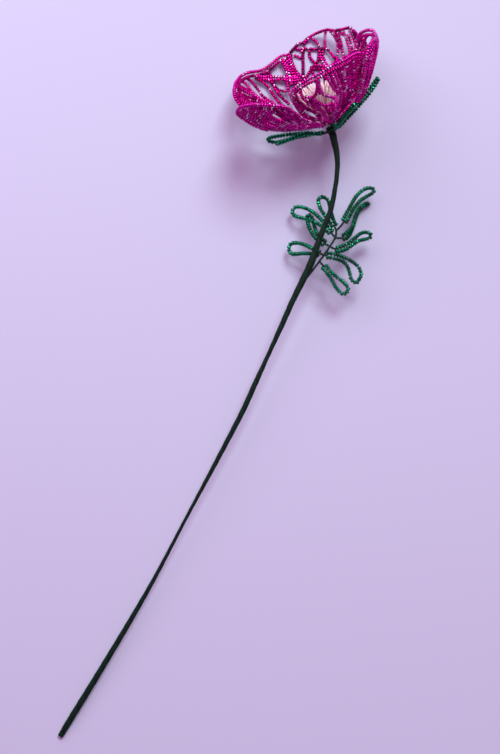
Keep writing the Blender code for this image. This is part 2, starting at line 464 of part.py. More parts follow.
def calyx_loop(row):
    """A calyx loop's bare wire and its two strands."""
    azimuth, tip_radius, tip_height, middle_height, width, roll = row
    points = [(CALYX_RING_RADIUS, CALYX_RING_HEIGHT), (CALYX_BARE, CALYX_RING_HEIGHT + 0.2),
              (0.5 * tip_radius, middle_height), (0.78 * tip_radius, (middle_height + tip_height) / 2),
              (tip_radius, tip_height)]
    line = smooth_curve([bloom_point(azimuth, radius, height) for radius, height in points], 0.5)
    cut = round((CALYX_BARE - CALYX_RING_RADIUS) / 0.5)
    strands = bead_loop(line[cut:], width, 0.3, roll, AXIS)
    return line[:cut + 3], strands


# Solids

def make_material(name, colour, roughness, metallic=0.0):
    material = bpy.data.materials.new(name)
    material.use_nodes = True
    shader = material.node_tree.nodes["Principled BSDF"]
    shader.inputs["Base Color"].default_value = (*colour, 1.0)
    shader.inputs["Roughness"].default_value = roughness
    shader.inputs["Metallic"].default_value = metallic
    material.diffuse_color = (*colour, 1.0)
    return material


def make_object(name, bm, collection=None):
    bmesh.ops.triangulate(bm, faces=bm.faces[:])
    bmesh.ops.recalc_face_normals(bm, faces=bm.faces[:])
    mesh = bpy.data.meshes.new(name)
    bm.to_mesh(mesh)
    bm.free()
    piece = bpy.data.objects.new(name, mesh)
    (collection or bpy.context.scene.collection).objects.link(piece)
    return piece


def tube(name, line, radii, sides, collection=None, closed=False):
    """A closed round bar along a line. Its rings turn with the line, without twist."""
    line = np.array(line, float)[:, :3] - np.array([*ORIGIN, 0.0])
    radii = np.broadcast_to(np.array(radii, float), (len(line),))
    if closed:
        tangents = [unit(line[(i + 1) % len(line)] - line[i - 1]) for i in range(len(line))]
    else:
        tangents = [unit(step) for step in np.gradient(line, axis=0)]
    across = unit(np.cross(tangents[0], [0.31, 0.17, 0.94]))
    bm = bmesh.new()
    rings = []
    for point, tangent, radius in zip(line, tangents, radii):
        across = unit(across - tangent * np.dot(across, tangent))
        upright = np.cross(tangent, across)
        ring = []
        for k in range(sides):
            turn = 2 * math.pi * k / sides
            corner = point + (across * math.cos(turn) + upright * math.sin(turn)) * radius
            ring.append(bm.verts.new(corner * MM))
        rings.append(ring)
    pairs = list(zip(rings, rings[1:]))
    if closed:
        pairs.append((rings[-1], rings[0]))
    for ring, following in pairs:
        for k in range(sides):
            after = (k + 1) % sides
            bm.faces.new((ring[k], ring[after], following[after], following[k]))
    if not closed:
        bm.faces.new(rings[0])
        bm.faces.new(rings[-1])
    return make_object(name, bm, collection)


def apply_boolean(piece, operation, collection, solver="MANIFOLD"):
    """Joins or cuts a piece with every object of a collection, which is then removed."""
    modifier = piece.modifiers.new(operation.lower(), "BOOLEAN")
    modifier.operation = operation
    modifier.operand_type = "COLLECTION"
    modifier.collection = collection
    modifier.solver = solver
    depsgraph = bpy.context.evaluated_depsgraph_get()
    joined = bpy.data.meshes.new_from_object(piece.evaluated_get(depsgraph))
    piece.modifiers.clear()
    piece.data = joined
    for other in list(collection.objects):
        bpy.data.objects.remove(other)
    bpy.data.collections.remove(collection)


def spare_collection(name):
    collection = bpy.data.collections.new(name)
    bpy.context.scene.collection.children.link(collection)
    return collection


def finish_piece(piece, material):
    piece.data.materials.clear()
    piece.data.materials.append(material)
    piece.data.shade_smooth()
    piece.data.set_sharp_from_angle(angle=math.radians(50))


def flatten_underside(piece):
    """Cuts off what dips under the surface, which leaves the small flat spots that the flower rests on."""
    cutters = spare_collection("surface")
    bm = bmesh.new()
    bmesh.ops.create_cube(bm, size=1.0)
    for corner in bm.verts:
        corner.co.z = corner.co.z - 0.5
    make_object("below the surface", bm, cutters)
    apply_boolean(piece, "DIFFERENCE", cutters)


def build_petal(name, petal, number, material):
    radius = PETAL_BEAD / 2 * PETAL_FIT
    strands = petal_strands(petal, number)
    wires, tail = petal_wires(petal)
    piece = tube(name, strands[0], radius, PETAL_SIDES)
    others = spare_collection("strands")
    for line in strands[1:]:
        tube("strand", line, radius, PETAL_SIDES, others)
    for line in wires:
        tube("wire", line, WIRE / 2, 4, others)
    tube("tail", tail, TAIL_WIRE / 2, 4, others)
    apply_boolean(piece, "UNION", others)
    flatten_underside(piece)
    finish_piece(piece, material)


def stem_line(step):
    """The stem's centre line and radius, up to the foot of the bloom."""
    foot, top = [(*(BLOOM_BASE + AXIS * height), radius) for height, radius in STEM_TOP]
    return np.array([*smooth_curve([*STEM, foot], step), top])


def build_stem_wire(material):
    line = stem_line(STEM_STEP)
    end = line[0].copy()
    end[:3] += unit(line[1][:3] - line[0][:3]) * TAPE_END
    top = np.array([*(BLOOM_BASE + AXIS * STEM_WIRE_TOP), 0.0])
    piece = tube("stem_wire", [end, *line[1:], top], STEM_WIRE_RADIUS, 6)
    finish_piece(piece, material)


def leaf_tail_line():
    """The leaf's wire beside the stem wire, from inside the tape to where it comes out."""
    line = []
    for x, y, z, radius in stem_line(4.0):
        if LEAF_TAIL_START < y < LEAF_EXIT[1] - 6:
            line.append((x + LEAF_TAIL_SIDE * 0.9, y, z - LEAF_TAIL_SIDE * 0.44))
    return smooth_curve(line + [LEAF_EXIT, LEAF_NODES[0]], 3.5)


def build_stem_tape(material):
    line = stem_line(STEM_STEP)
    piece = tube("stem_tape", line, line[:, 3], 8)
    cutters = spare_collection("channels")
    end = line[0].copy()
    end[:3] += unit(line[1][:3] - line[0][:3]) * (TAPE_END - 0.3)
    above = np.array([*(BLOOM_BASE + AXIS * 1.0), 0.0])
    tube("wire channel", [end, *line[1:], above], WIRE_CHANNEL, 6, cutters)
    cavity = [BLOOM_BASE - AXIS * TAIL_CAVITY_DEPTH, BLOOM_BASE + AXIS]
    tube("tail cavity", cavity, TAIL_CAVITY, 8, cutters)
    tail = leaf_tail_line()
    start = tail[0] - unit(tail[1] - tail[0]) * 0.5
    tube("leaf wire channel", [start, *tail[1:]], TAIL_WIRE / 2 + 0.17, 6, cutters)
    apply_boolean(piece, "DIFFERENCE", cutters)
    flatten_underside(piece)
    finish_piece(piece, material)


def build_leaf(material):
    bead = GREEN_BEAD / 2 * GREEN_FIT
    piece = tube("leaf", smooth_curve(LEAF_NODES, 2.5), LEAF_WIRE / 2, 5)
    others = spare_collection("loops")
    tail = leaf_tail_line()
    free = np.linspace(0, 1, len(tail))
    radii = [TAIL_WIRE / 2 + (LEAF_WIRE - TAIL_WIRE) / 2 * smooth_step((t - 0.78) / 0.2) for t in free]
    tube("tail", tail, radii, 5, others)
    for row in LEAF_LOOPS:
        wire, strands = leaf_loop(row)
        tube("wire", smooth_curve(wire[::2], 2.5), LEAF_WIRE / 2, 5, others)
        for strand in strands:
            tube("strand", smooth_curve(strand, GREEN_STEP), bead, GREEN_SIDES, others)
    apply_boolean(piece, "UNION", others)
    flatten_underside(piece)
    finish_piece(piece, material)


def build_calyx(material):
    bead = GREEN_BEAD / 2 * GREEN_FIT
    ring = [bloom_point(360 * k / 12, CALYX_RING_RADIUS, CALYX_RING_HEIGHT) for k in range(12)]
    piece = tube("calyx", ring, CALYX_RING_WIRE / 2, 5, closed=True)
    others = spare_collection("loops")
    for row in CALYX_LOOPS:
        wire, strands = calyx_loop(row)
        tube("wire", smooth_curve(wire[::2], 2.0), WIRE, 5, others)
        for strand in strands:
            tube("strand", smooth_curve(strand, GREEN_STEP), bead, GREEN_SIDES, others)
    apply_boolean(piece, "UNION", others)
    finish_piece(piece, material)


def build_tuft(material):
    """The stamens: three-sided fibres with their roots in a bound knot that sits on the stem wire."""
    rng = random.Random(7)
    middle = (KNOT_LOW + KNOT_HIGH) / 2
    knot = [BLOOM_BASE + AXIS * height for height in (KNOT_LOW, KNOT_LOW + 1.2, middle, KNOT_HIGH)]
    piece = tube("centre_tuft", knot, [KNOT_RADIUS * 0.6, KNOT_RADIUS, KNOT_RADIUS, KNOT_RADIUS * 0.7], 8)
    fibres = spare_collection("fibres")
    for k in range(STAMENS):
        lean = math.radians(STAMEN_SPREAD) * math.sqrt((k + 0.5) / STAMENS)
        azimuth = GOLDEN_ANGLE * k
        length = STAMEN_LENGTH + rng.uniform(-2, 2)
        line = [bloom_point(azimuth, math.sin(lean) * reach, middle + math.cos(lean) * reach)
                for reach in (0.8, length)]
        tube("fibre", line, np.array([1.0, 0.6]) * STAMEN_THICKNESS / 2, 3, fibres)
    apply_boolean(piece, "UNION", fibres)
    socket = spare_collection("socket")
    hole = [BLOOM_BASE + AXIS * height for height in (0.0, STEM_WIRE_TOP + 0.2)]
    tube("wire socket", hole, WIRE_CHANNEL, 6, socket)
    apply_boolean(piece, "DIFFERENCE", socket)
    finish_piece(piece, material)


def build():
    for old in list(bpy.data.objects):
        bpy.data.objects.remove(old)
    magenta = make_material("magenta glass beads", (0.50, 0.01, 0.26), 0.15)
    green = make_material("green glass beads", (0.01, 0.20, 0.11), 0.15)
    tape = make_material("green floral tape", (0.02, 0.05, 0.035), 0.7)
    steel = make_material("steel wire", (0.55, 0.55, 0.55), 0.35, 1.0)
    fibre = make_material("pale fibre", (0.85, 0.72, 0.68), 0.6)
    build_stem_wire(steel)
    build_stem_tape(tape)
    build_leaf(green)
    build_calyx(green)
    build_tuft(fibre)
    for number, petal in enumerate(PETALS, 1):
        build_petal(f"petal_{number}", petal, number, magenta)


build()
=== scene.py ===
"""The looks of the beaded wire flower: round glass beads on thin wires, wound tape and a thread tuft."""
import math
import random

import bpy
import numpy as np
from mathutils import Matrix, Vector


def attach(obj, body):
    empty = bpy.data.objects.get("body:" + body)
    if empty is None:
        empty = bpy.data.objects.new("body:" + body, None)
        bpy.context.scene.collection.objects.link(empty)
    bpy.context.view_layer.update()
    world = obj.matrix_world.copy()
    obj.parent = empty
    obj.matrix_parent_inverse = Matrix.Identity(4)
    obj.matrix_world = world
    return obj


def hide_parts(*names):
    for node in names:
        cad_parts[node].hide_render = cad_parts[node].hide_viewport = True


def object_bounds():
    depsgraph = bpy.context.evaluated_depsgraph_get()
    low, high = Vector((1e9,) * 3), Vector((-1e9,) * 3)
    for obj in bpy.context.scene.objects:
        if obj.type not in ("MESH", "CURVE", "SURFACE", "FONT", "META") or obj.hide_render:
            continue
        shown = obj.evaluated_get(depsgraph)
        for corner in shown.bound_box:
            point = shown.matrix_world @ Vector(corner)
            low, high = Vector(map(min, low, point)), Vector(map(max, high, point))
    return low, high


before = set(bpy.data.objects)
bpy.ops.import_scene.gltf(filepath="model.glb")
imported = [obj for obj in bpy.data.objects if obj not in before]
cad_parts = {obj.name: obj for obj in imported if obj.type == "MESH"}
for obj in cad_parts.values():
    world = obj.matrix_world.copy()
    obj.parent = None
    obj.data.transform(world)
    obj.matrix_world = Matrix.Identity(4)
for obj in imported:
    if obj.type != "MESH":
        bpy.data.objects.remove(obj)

MM = 0.001
CAD_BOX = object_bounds()

# Where the box's middle lies in the drawing frame, in millimetres
ORIGIN = (-28.37, -15.69)

# The CAD model's box in the drawing's own millimetres, which no bead and no tape leaves
BOX_LOW, BOX_HIGH = np.array(CAD_BOX) / MM + [*ORIGIN, 0.0]

# Fineness: parts of a curve between given points, points of a straight line, and steps in millimetres
CURVE_STEPS = 24
STRAIGHT_POINTS = 40
LINE_STEP = 0.5
LACE_STEP = 0.02          # in a petal's own s and t
THREAD_STEP = 1.5
BEAD_LINE_STEP = 0.25
CUP_STEP = 1.0
STEM_STEP = 2.0
TAPE_STEP = 0.45
LOOP_STEPS = 60           # along a leaf loop

# Beads: outer size, the step from one to the next, and the shape
PETAL_BEAD = 2.05
PETAL_PITCH = 1.5
GREEN_BEAD = 2.45
GREEN_PITCH = 1.8
BEAD_SIDES = 12
BEAD_LENGTH = 0.97        # of the pitch
LONGEST_BEAD = 0.98       # of the room that a bead has
BEAD_HOLE = 0.36          # of the radius

# Along half a bead, from its end inwards: place, radius and how much of the bead's own colour shows, the rest
# being painted shade at a bead's ends, where it meets the next
HALF_BEAD = [(0.5, BEAD_HOLE, 0.0), (0.46, 0.47, 0.0), (0.4, 0.67, 0.08), (0.3, 0.85, 0.4),
             (0.2, 0.945, 0.8), (0.08, 0.995, 1.0)]

# How beads vary: spread of their length and size as shares, of their lean, and of their place in millimetres
LENGTH_SPREAD = 0.02
SIZE_SPREAD = 0.025
LEAN_SPREAD = 0.05
PLACE_SPREAD = 0.04
STRAND_TONES = (0.04, 0.74)    # range of the strands' own tones, on the ramp of their colour
TONE_SPREAD = 0.13             # of the beads about their strand's tone
PAINTED_GLINT_SHARE = 0.09            # beads that take the ramp's brightest tone, a painted glint

# Wires: thickness and sides, and the length of one turn where two are twisted
THREAD_WIRE = 0.3
LEAF_WIRE = 0.75          # each of the two twisted wires
WIRE_SIDES = 5
THREAD_TWIST = 2.4
LEAF_TWIST = 3.2
RING_TWIST = 3.0
STRAND_END = 0.4          # bare wire where a strand meets another
PLAIN_TONE = 0.5          # of wires and of the tape's ends

# Where each piece's random numbers start
PETAL_SEED = 100          # and the petal's number
LEAF_SEED = 21
CALYX_SEED = 22
TUFT_SEED = 7
TAPE_SEED = 3

# Bloom: middle of its base, its axis, and the cup's outline as radius and height along the axis,
# where the cup is upright and on the side where it lies open
BLOOM_BASE = np.array([-27.2, 142.4, 28.0])
AXIS_HEADING = 142.6
AXIS_RISE = 14.5
UPRIGHT_CUP = [(0, 0), (9, 3.3), (18, 7.0), (25.5, 11.6), (31, 18), (36, 25), (39.5, 31.5), (40.5, 38),
               (40, 45), (39, 52)]
OPEN_CUP = [(0, 0), (6, 3.0), (11, 4.8), (22, 8.6), (30, 12.2), (35.5, 16.5), (39.6, 22), (42.8, 28.5),
            (44.2, 35), (44.2, 42), (43.7, 49)]
OPEN_SIDE = -112
OPEN_FOCUS = 3            # how quickly the cup closes away from that side
CUP_END = 1.001           # just short of the outline's last point

# Petals: azimuth of the middle, length along the cup, how far the rim leans out, how far each side edge
# lies outside the cup, how much shorter the sides are, and how much longer the high side is
PETALS = [
    dict(azimuth=-41, length=66, lean=0.0, low_edge=-1.5, high_edge=-1.5, roundness=0.08, slant=0.05),
    dict(azimuth=32, length=65, lean=0.5, low_edge=1.5, high_edge=1.5, roundness=0.05, slant=0.0),
    dict(azimuth=98, length=62, lean=2.0, low_edge=-3.0, high_edge=1.5, roundness=0.10, slant=0.0),
    dict(azimuth=168, length=55, lean=-1.0, low_edge=-1.5, high_edge=-1.5, roundness=0.06, slant=0.0),
    dict(azimuth=-112, length=57, lean=0.5, low_edge=1.5, high_edge=1.5, roundness=0.22, slant=0.0),
]
PETAL_HALF_WIDTH = 38.5   # in degrees round the bloom's axis
BASE_HALF_WIDTH = 34.0    # the same at the base
PETAL_START = 7.2         # where the base is along the cup
BELLY = 0.5               # how far the middle bulges out
EDGE_AT_FOOT = 0.45       # how much of its distance from the cup a side edge has at the base
EDGE_START = 0.3          # where across a petal the edge starts to leave the cup
EDGE_BAND = 0.36          # how much of the half width it takes to leave it
WIDTH_GROWN = 0.35        # where along a petal its width, its edges and its belly reach their full size
EDGE_GROWN = 0.2
BELLY_GROWN = 0.5
FLOOR = 1.05              # lowest height of a strand's middle
INNER_EDGE_RISE = 1.72    # for each millimetre that an edge lies inside the cup
REST_SOFTNESS = 1.2       # how gradually a petal bends there
CLEAR_OF_FLOOR = 20       # from so many times the softness above it, nothing is bent

# Petal wires: where across and along the petal they start, and where they meet near the bloom's axis
WIRE_PLACES = (-0.6, 0.0, 0.6)
WIRE_START = -0.04
WIRE_SAG = 0.2            # of their middle, along the bloom's axis
GATHER_RADIUS = 1.4
GATHER_HEIGHT = 0.9

# Lace: each petal's strands, the rim first, as (s, t), where s runs from -1 to 1 across the petal and t
# from 0 at its base to 1 at its rim
LACES = [
    [
        [(-0.6, -0.05), (-0.78, 0.06), (-0.93, 0.2), (-1, 0.45), (-1.01, 0.7), (-1, 0.9), (-0.93, 0.985),
         (-0.75, 1.01), (-0.5, 1.01), (-0.2, 0.995), (0, 0.975), (0.15, 0.95), (0.3, 0.925), (0.45, 0.92),
         (0.6, 0.935), (0.75, 0.96), (0.9, 0.975), (0.98, 0.96), (1.01, 0.85), (1, 0.45), (0.93, 0.2),
         (0.78, 0.06), (0.6, -0.05)],
        [(-0.99, 0.8), (-0.93, 0.93), (-0.72, 0.972), (-0.5, 0.972), (-0.2, 0.957), (0, 0.938),
         (0.15, 0.914), (0.3, 0.888), (0.45, 0.884), (0.6, 0.9), (0.75, 0.925), (0.9, 0.94)],
        [(0.15, 0.905), (0.3, 0.865), (0.42, 0.84), (0.52, 0.81), (0.62, 0.78), (0.75, 0.745),
         (0.9, 0.715), (1, 0.69)],
        [(0.47, 0.91), (0.46, 0.865), (0.5, 0.82)],
        [(0.78, 0.95), (0.83, 0.88), (0.81, 0.8), (0.76, 0.74), (0.7, 0.67), (0.63, 0.61), (0.6, 0.53)],
        [(0.45, 0.83), (0.455, 0.76), (0.45, 0.69), (0.51, 0.64), (0.58, 0.61)],
        [(0.36, 0.86), (0.42, 0.8), (0.43, 0.73), (0.41, 0.66), (0.41, 0.58), (0.43, 0.48)],
        [(0.13, 0.9), (0.24, 0.84), (0.31, 0.77), (0.31, 0.7), (0.28, 0.63), (0.26, 0.55), (0.27, 0.4)],
        [(-0.08, 0.95), (0, 0.9), (0.05, 0.84), (0.07, 0.78), (0.06, 0.71), (0.1, 0.65), (0.14, 0.56)],
        [(-0.22, 0.95), (-0.14, 0.9), (-0.11, 0.84), (-0.09, 0.78), (-0.05, 0.72), (0.02, 0.65),
         (0.06, 0.56)],
        [(-0.46, 0.965), (-0.3, 0.87), (-0.18, 0.8), (-0.05, 0.72)],
        [(-0.62, 0.965), (-0.48, 0.85), (-0.32, 0.765), (-0.15, 0.69), (-0.04, 0.61), (0.02, 0.5)],
        [(-0.8, 0.95), (-0.62, 0.81), (-0.45, 0.72), (-0.27, 0.64), (-0.14, 0.56), (-0.08, 0.45)],
        [(-0.96, 0.88), (-0.8, 0.75), (-0.62, 0.66), (-0.44, 0.58), (-0.3, 0.49)],
        [(-1, 0.7), (-0.85, 0.61), (-0.68, 0.52), (-0.55, 0.42), (-0.5, 0.3), (-0.5, 0.14)],
        [(-0.27, 0.05), (-0.28, 0.2), (-0.3, 0.36), (-0.3, 0.49)],
        [(0.27, 0.05), (0.28, 0.2), (0.27, 0.4)],
        [(0, -0.05), (0, 0.12), (0, 0.3), (0.02, 0.5)],
        [(0.5, 0.14), (0.52, 0.3), (0.55, 0.42), (0.6, 0.53)],
        [(0.9, 0.95), (0.92, 0.85), (0.9, 0.72), (0.84, 0.6), (0.78, 0.45), (0.72, 0.28)],
        [(0.22, 0.865), (0.33, 0.832), (0.44, 0.8), (0.54, 0.77), (0.64, 0.742), (0.76, 0.707),
         (0.88, 0.675)],
        [(0.97, 0.93), (0.97, 0.83), (0.95, 0.74), (0.93, 0.6)],
        [(0.85, 0.94), (0.875, 0.86), (0.86, 0.79), (0.82, 0.72), (0.77, 0.64)],
        [(-0.37, 0.955), (-0.28, 0.9), (-0.2, 0.85), (-0.14, 0.8)],
        [(-0.55, 0.96), (-0.4, 0.855), (-0.25, 0.78), (-0.1, 0.705), (0, 0.63)],
        [(-0.7, 0.96), (-0.56, 0.83), (-0.38, 0.74), (-0.21, 0.665), (-0.08, 0.58)],
        [(-0.87, 0.945), (-0.71, 0.78), (-0.53, 0.69), (-0.35, 0.61)],
        [(-0.99, 0.79), (-0.83, 0.68), (-0.65, 0.59)],
    ],
    [
        [(-0.6, -0.05), (-0.78, 0.06), (-0.93, 0.2), (-1, 0.45), (-1.01, 0.7), (-1, 0.88), (-0.95, 0.95),
         (-0.8, 0.99), (-0.7, 1.005), (-0.6, 1.025), (-0.5, 1.01), (-0.4, 1.03), (-0.3, 1.037),
         (-0.1, 1.04), (0.1, 1.03), (0.25, 1), (0.45, 0.99), (0.58, 0.985), (0.65, 0.965), (0.7, 0.92),
         (0.82, 0.86), (0.95, 0.8), (1.01, 0.7), (1, 0.45), (0.93, 0.2), (0.78, 0.06), (0.6, -0.05)],
        [(-0.52, 0.985), (-0.43, 1.01), (-0.33, 1.022), (-0.25, 0.985), (-0.21, 0.9)],
        [(-0.65, 0.97), (-0.51, 0.945), (-0.33, 0.905), (-0.14, 0.875), (-0.06, 0.845), (-0.01, 0.79),
         (0.05, 0.74), (0.15, 0.7)],
        [(0.06, 1.03), (-0.04, 0.955), (-0.11, 0.87)],
        [(0.14, 1.02), (0.18, 0.95), (0.19, 0.885), (0.13, 0.79), (0.05, 0.745)],
        [(0.24, 1), (0.29, 0.92), (0.27, 0.85), (0.25, 0.785), (0.27, 0.72)],
        [(0.43, 0.98), (0.42, 0.9), (0.415, 0.83), (0.42, 0.76), (0.4, 0.66), (0.36, 0.5)],
        [(0.55, 0.97), (0.57, 0.88), (0.58, 0.78), (0.56, 0.66), (0.52, 0.5), (0.5, 0.3), (0.5, 0.14)],
        [(0.66, 0.94), (0.7, 0.82), (0.71, 0.7), (0.7, 0.55), (0.72, 0.36)],
        [(0.82, 0.86), (0.84, 0.72), (0.84, 0.55)],
        [(-0.51, 0.98), (-0.6, 0.91), (-0.67, 0.835), (-0.74, 0.76), (-0.78, 0.7), (-0.72, 0.55),
         (-0.72, 0.36)],
        [(-0.43, 0.92), (-0.49, 0.86), (-0.46, 0.8), (-0.4, 0.775), (-0.32, 0.81), (-0.25, 0.88)],
        [(-0.17, 0.87), (-0.22, 0.81), (-0.21, 0.755), (-0.17, 0.7), (-0.12, 0.66)],
        [(-0.82, 0.98), (-0.88, 0.895), (-0.96, 0.83), (-1, 0.765)],
        [(-0.8, 0.95), (-0.72, 0.915), (-0.66, 0.875)],
        [(-0.95, 0.835), (-0.86, 0.79), (-0.83, 0.75), (-0.77, 0.7)],
        [(-1, 0.67), (-0.8, 0.68), (-0.6, 0.735), (-0.44, 0.76), (-0.3, 0.725), (-0.12, 0.695),
         (0.05, 0.715), (0.27, 0.72), (0.45, 0.74), (0.7, 0.74), (1, 0.7)],
        [(-0.56, 0.73), (-0.5, 0.6), (-0.45, 0.45), (-0.45, 0.3)],
        [(-0.3, 0.72), (-0.3, 0.58), (-0.28, 0.4), (-0.27, 0.05)],
        [(-0.08, 0.69), (-0.08, 0.55), (-0.05, 0.35), (0, 0.15), (0, -0.05)],
        [(0.12, 0.7), (0.12, 0.55), (0.16, 0.4), (0.25, 0.3), (0.27, 0.05)],
        [(0.215, 0.98), (0.235, 0.91), (0.21, 0.84), (0.19, 0.81)],
        [(0.49, 0.94), (0.49, 0.88), (0.49, 0.8), (0.48, 0.72), (0.46, 0.6)],
        [(0.61, 0.96), (0.635, 0.88), (0.645, 0.76), (0.63, 0.62)],
        [(0.76, 0.87), (0.775, 0.76), (0.77, 0.62)],
        [(0.9, 0.82), (0.92, 0.7)],
        [(0.33, 0.99), (0.345, 0.945), (0.37, 0.93), (0.4, 0.97)],
        [(0.34, 0.74), (0.33, 0.64)],
        [(-0.26, 0.86), (-0.27, 0.8), (-0.26, 0.75), (-0.2, 0.69)],
        [(-0.56, 0.78), (-0.52, 0.745), (-0.44, 0.72), (-0.35, 0.7), (-0.22, 0.665), (0, 0.66),
         (0.2, 0.67)],
        [(-0.7, 0.99), (-0.64, 0.97), (-0.6, 0.94), (-0.62, 0.92)],
        [(-0.97, 0.93), (-0.9, 0.955), (-0.82, 0.955)],
    ],
    [
        [(-0.6, -0.05), (-0.78, 0.06), (-0.93, 0.2), (-1, 0.45), (-1.01, 0.7), (-1, 0.88), (-0.93, 0.96),
         (-0.8, 0.99), (-0.65, 0.99), (-0.5, 0.975), (-0.35, 0.945), (-0.2, 0.895), (-0.05, 0.85),
         (0.1, 0.83), (0.3, 0.85), (0.5, 0.9), (0.7, 0.93), (0.88, 0.93), (1, 0.86), (1.01, 0.7),
         (1, 0.45), (0.93, 0.2), (0.78, 0.06), (0.6, -0.05)],
        [(-0.98, 0.83), (-0.9, 0.925), (-0.76, 0.95), (-0.62, 0.945), (-0.48, 0.925), (-0.33, 0.895),
         (-0.18, 0.85), (-0.04, 0.805), (0.1, 0.785), (0.3, 0.805), (0.5, 0.855), (0.7, 0.885),
         (0.85, 0.88), (0.96, 0.82)],
        [(-0.5, 0.93), (-0.64, 0.885), (-0.79, 0.835), (-0.9, 0.79), (-1, 0.73)],
        [(-0.36, 0.9), (-0.42, 0.845), (-0.55, 0.785), (-0.64, 0.715), (-0.74, 0.655), (-0.85, 0.6),
         (-1, 0.56)],
        [(-0.26, 0.87), (-0.34, 0.79), (-0.44, 0.72), (-0.5, 0.64), (-0.54, 0.54), (-0.5, 0.36),
         (-0.5, 0.14)],
        [(-0.86, 0.8), (-0.8, 0.71), (-0.76, 0.62), (-0.76, 0.48), (-0.72, 0.3)],
        [(-0.16, 0.85), (-0.22, 0.75), (-0.3, 0.64), (-0.34, 0.5), (-0.28, 0.3), (-0.27, 0.05)],
        [(-0.02, 0.81), (-0.06, 0.7), (-0.12, 0.56), (-0.1, 0.4), (0, 0.12), (0, -0.05)],
        [(0.14, 0.79), (0.12, 0.66), (0.08, 0.52), (0.1, 0.36)],
        [(0.3, 0.81), (0.33, 0.7), (0.3, 0.56), (0.28, 0.44), (0.26, 0.3), (0.27, 0.05)],
        [(0.46, 0.58), (0.48, 0.36), (0.5, 0.14)],
        [(0.6, 0.87), (0.57, 0.74), (0.6, 0.62), (0.62, 0.5), (0.62, 0.38)],
        [(0.84, 0.88), (0.86, 0.74), (0.82, 0.62), (0.8, 0.5), (0.74, 0.3)],
        [(0.3, 0.6), (0.46, 0.58), (0.62, 0.6), (0.8, 0.62), (1, 0.6)],
        [(-0.09, 0.83), (-0.14, 0.73), (-0.21, 0.61)],
        [(0.06, 0.79), (0.03, 0.68)],
        [(0.22, 0.79), (0.21, 0.67)],
        [(0.9, 0.86), (0.91, 0.7)],
    ],
    [
        [(-0.6, -0.05), (-0.78, 0.06), (-0.93, 0.2), (-1, 0.45), (-1.01, 0.7), (-1, 0.9), (-0.94, 0.97),
         (-0.75, 0.99), (-0.5, 0.985), (-0.25, 0.98), (0, 0.985), (0.25, 0.98), (0.5, 0.985),
         (0.75, 0.99), (0.94, 0.97), (1, 0.9), (1.03, 0.7), (1.08, 0.45), (1.05, 0.2), (0.8, 0.06),
         (0.6, -0.05)],
        [(-0.98, 0.86), (-0.92, 0.92), (-0.75, 0.945), (-0.5, 0.94), (-0.25, 0.935), (0, 0.94),
         (0.25, 0.94), (0.5, 0.94), (0.75, 0.945), (0.9, 0.92), (0.96, 0.86)],
        [(0.86, 0.93), (0.9, 0.87), (0.9, 0.81), (0.87, 0.735), (0.85, 0.66), (0.8, 0.58), (0.72, 0.45),
         (0.7, 0.26)],
        [(0.73, 0.94), (0.77, 0.88), (0.78, 0.81), (0.75, 0.735), (0.72, 0.67), (0.68, 0.6), (0.6, 0.5)],
        [(0.74, 0.82), (0.66, 0.765), (0.58, 0.745), (0.5, 0.76), (0.43, 0.82), (0.39, 0.87),
         (0.38, 0.93)],
        [(0.32, 0.93), (0.36, 0.87), (0.37, 0.8), (0.34, 0.73), (0.3, 0.69), (0.22, 0.655), (0.14, 0.615),
         (0.07, 0.57)],
        [(0.16, 0.93), (0.14, 0.86), (0.1, 0.79), (0.07, 0.72), (0, 0.66), (-0.03, 0.58)],
        [(0.62, 0.75), (0.58, 0.69), (0.51, 0.635), (0.44, 0.575), (0.36, 0.545), (0.24, 0.53),
         (0.12, 0.52)],
        [(0.54, 0.65), (0.56, 0.56), (0.5, 0.42), (0.5, 0.3), (0.5, 0.14)],
        [(0.38, 0.54), (0.34, 0.42), (0.28, 0.28), (0.27, 0.05)],
        [(0.18, 0.52), (0.15, 0.4), (0.12, 0.28)],
        [(-0.02, 0.93), (-0.05, 0.84), (-0.08, 0.75), (-0.1, 0.65), (-0.08, 0.52), (-0.03, 0.38),
         (0, 0.15), (0, -0.05)],
        [(-0.17, 0.93), (-0.2, 0.84), (-0.18, 0.74), (-0.22, 0.62), (-0.22, 0.48), (-0.2, 0.34)],
        [(-0.34, 0.93), (-0.35, 0.82), (-0.34, 0.7), (-0.36, 0.56), (-0.3, 0.36), (-0.27, 0.05)],
        [(-0.5, 0.93), (-0.52, 0.8), (-0.5, 0.66), (-0.5, 0.5), (-0.5, 0.3), (-0.5, 0.14)],
        [(-0.66, 0.94), (-0.68, 0.8), (-0.66, 0.66), (-0.64, 0.5), (-0.66, 0.34)],
        [(-0.82, 0.94), (-0.84, 0.8), (-0.82, 0.64), (-0.8, 0.48)],
        [(0.95, 0.86), (0.96, 0.76), (0.94, 0.62)],
        [(0.45, 0.81), (0.41, 0.77), (0.385, 0.74)],
        [(0.68, 0.74), (0.65, 0.68), (0.6, 0.6)],
        [(0.76, 0.72), (0.73, 0.64)],
        [(0.2, 0.94), (0.19, 0.9), (0.17, 0.87)],
        [(0.08, 0.93), (0.06, 0.85), (0.02, 0.77), (-0.02, 0.7)],
        [(-0.1, 0.93), (-0.12, 0.85), (-0.11, 0.76), (-0.15, 0.66)],
        [(-0.25, 0.93), (-0.26, 0.86)],
        [(-0.3, 0.8), (-0.26, 0.73), (-0.29, 0.62)],
        [(-0.42, 0.93), (-0.43, 0.82), (-0.42, 0.7), (-0.43, 0.56)],
        [(-0.58, 0.94), (-0.6, 0.82), (-0.58, 0.68)],
        [(-0.74, 0.94), (-0.76, 0.82), (-0.74, 0.66)],
        [(-0.9, 0.92), (-0.92, 0.8), (-0.9, 0.64)],
        [(1.01, 0.66), (1, 0.48), (0.96, 0.3), (0.86, 0.14)],
    ],
    [
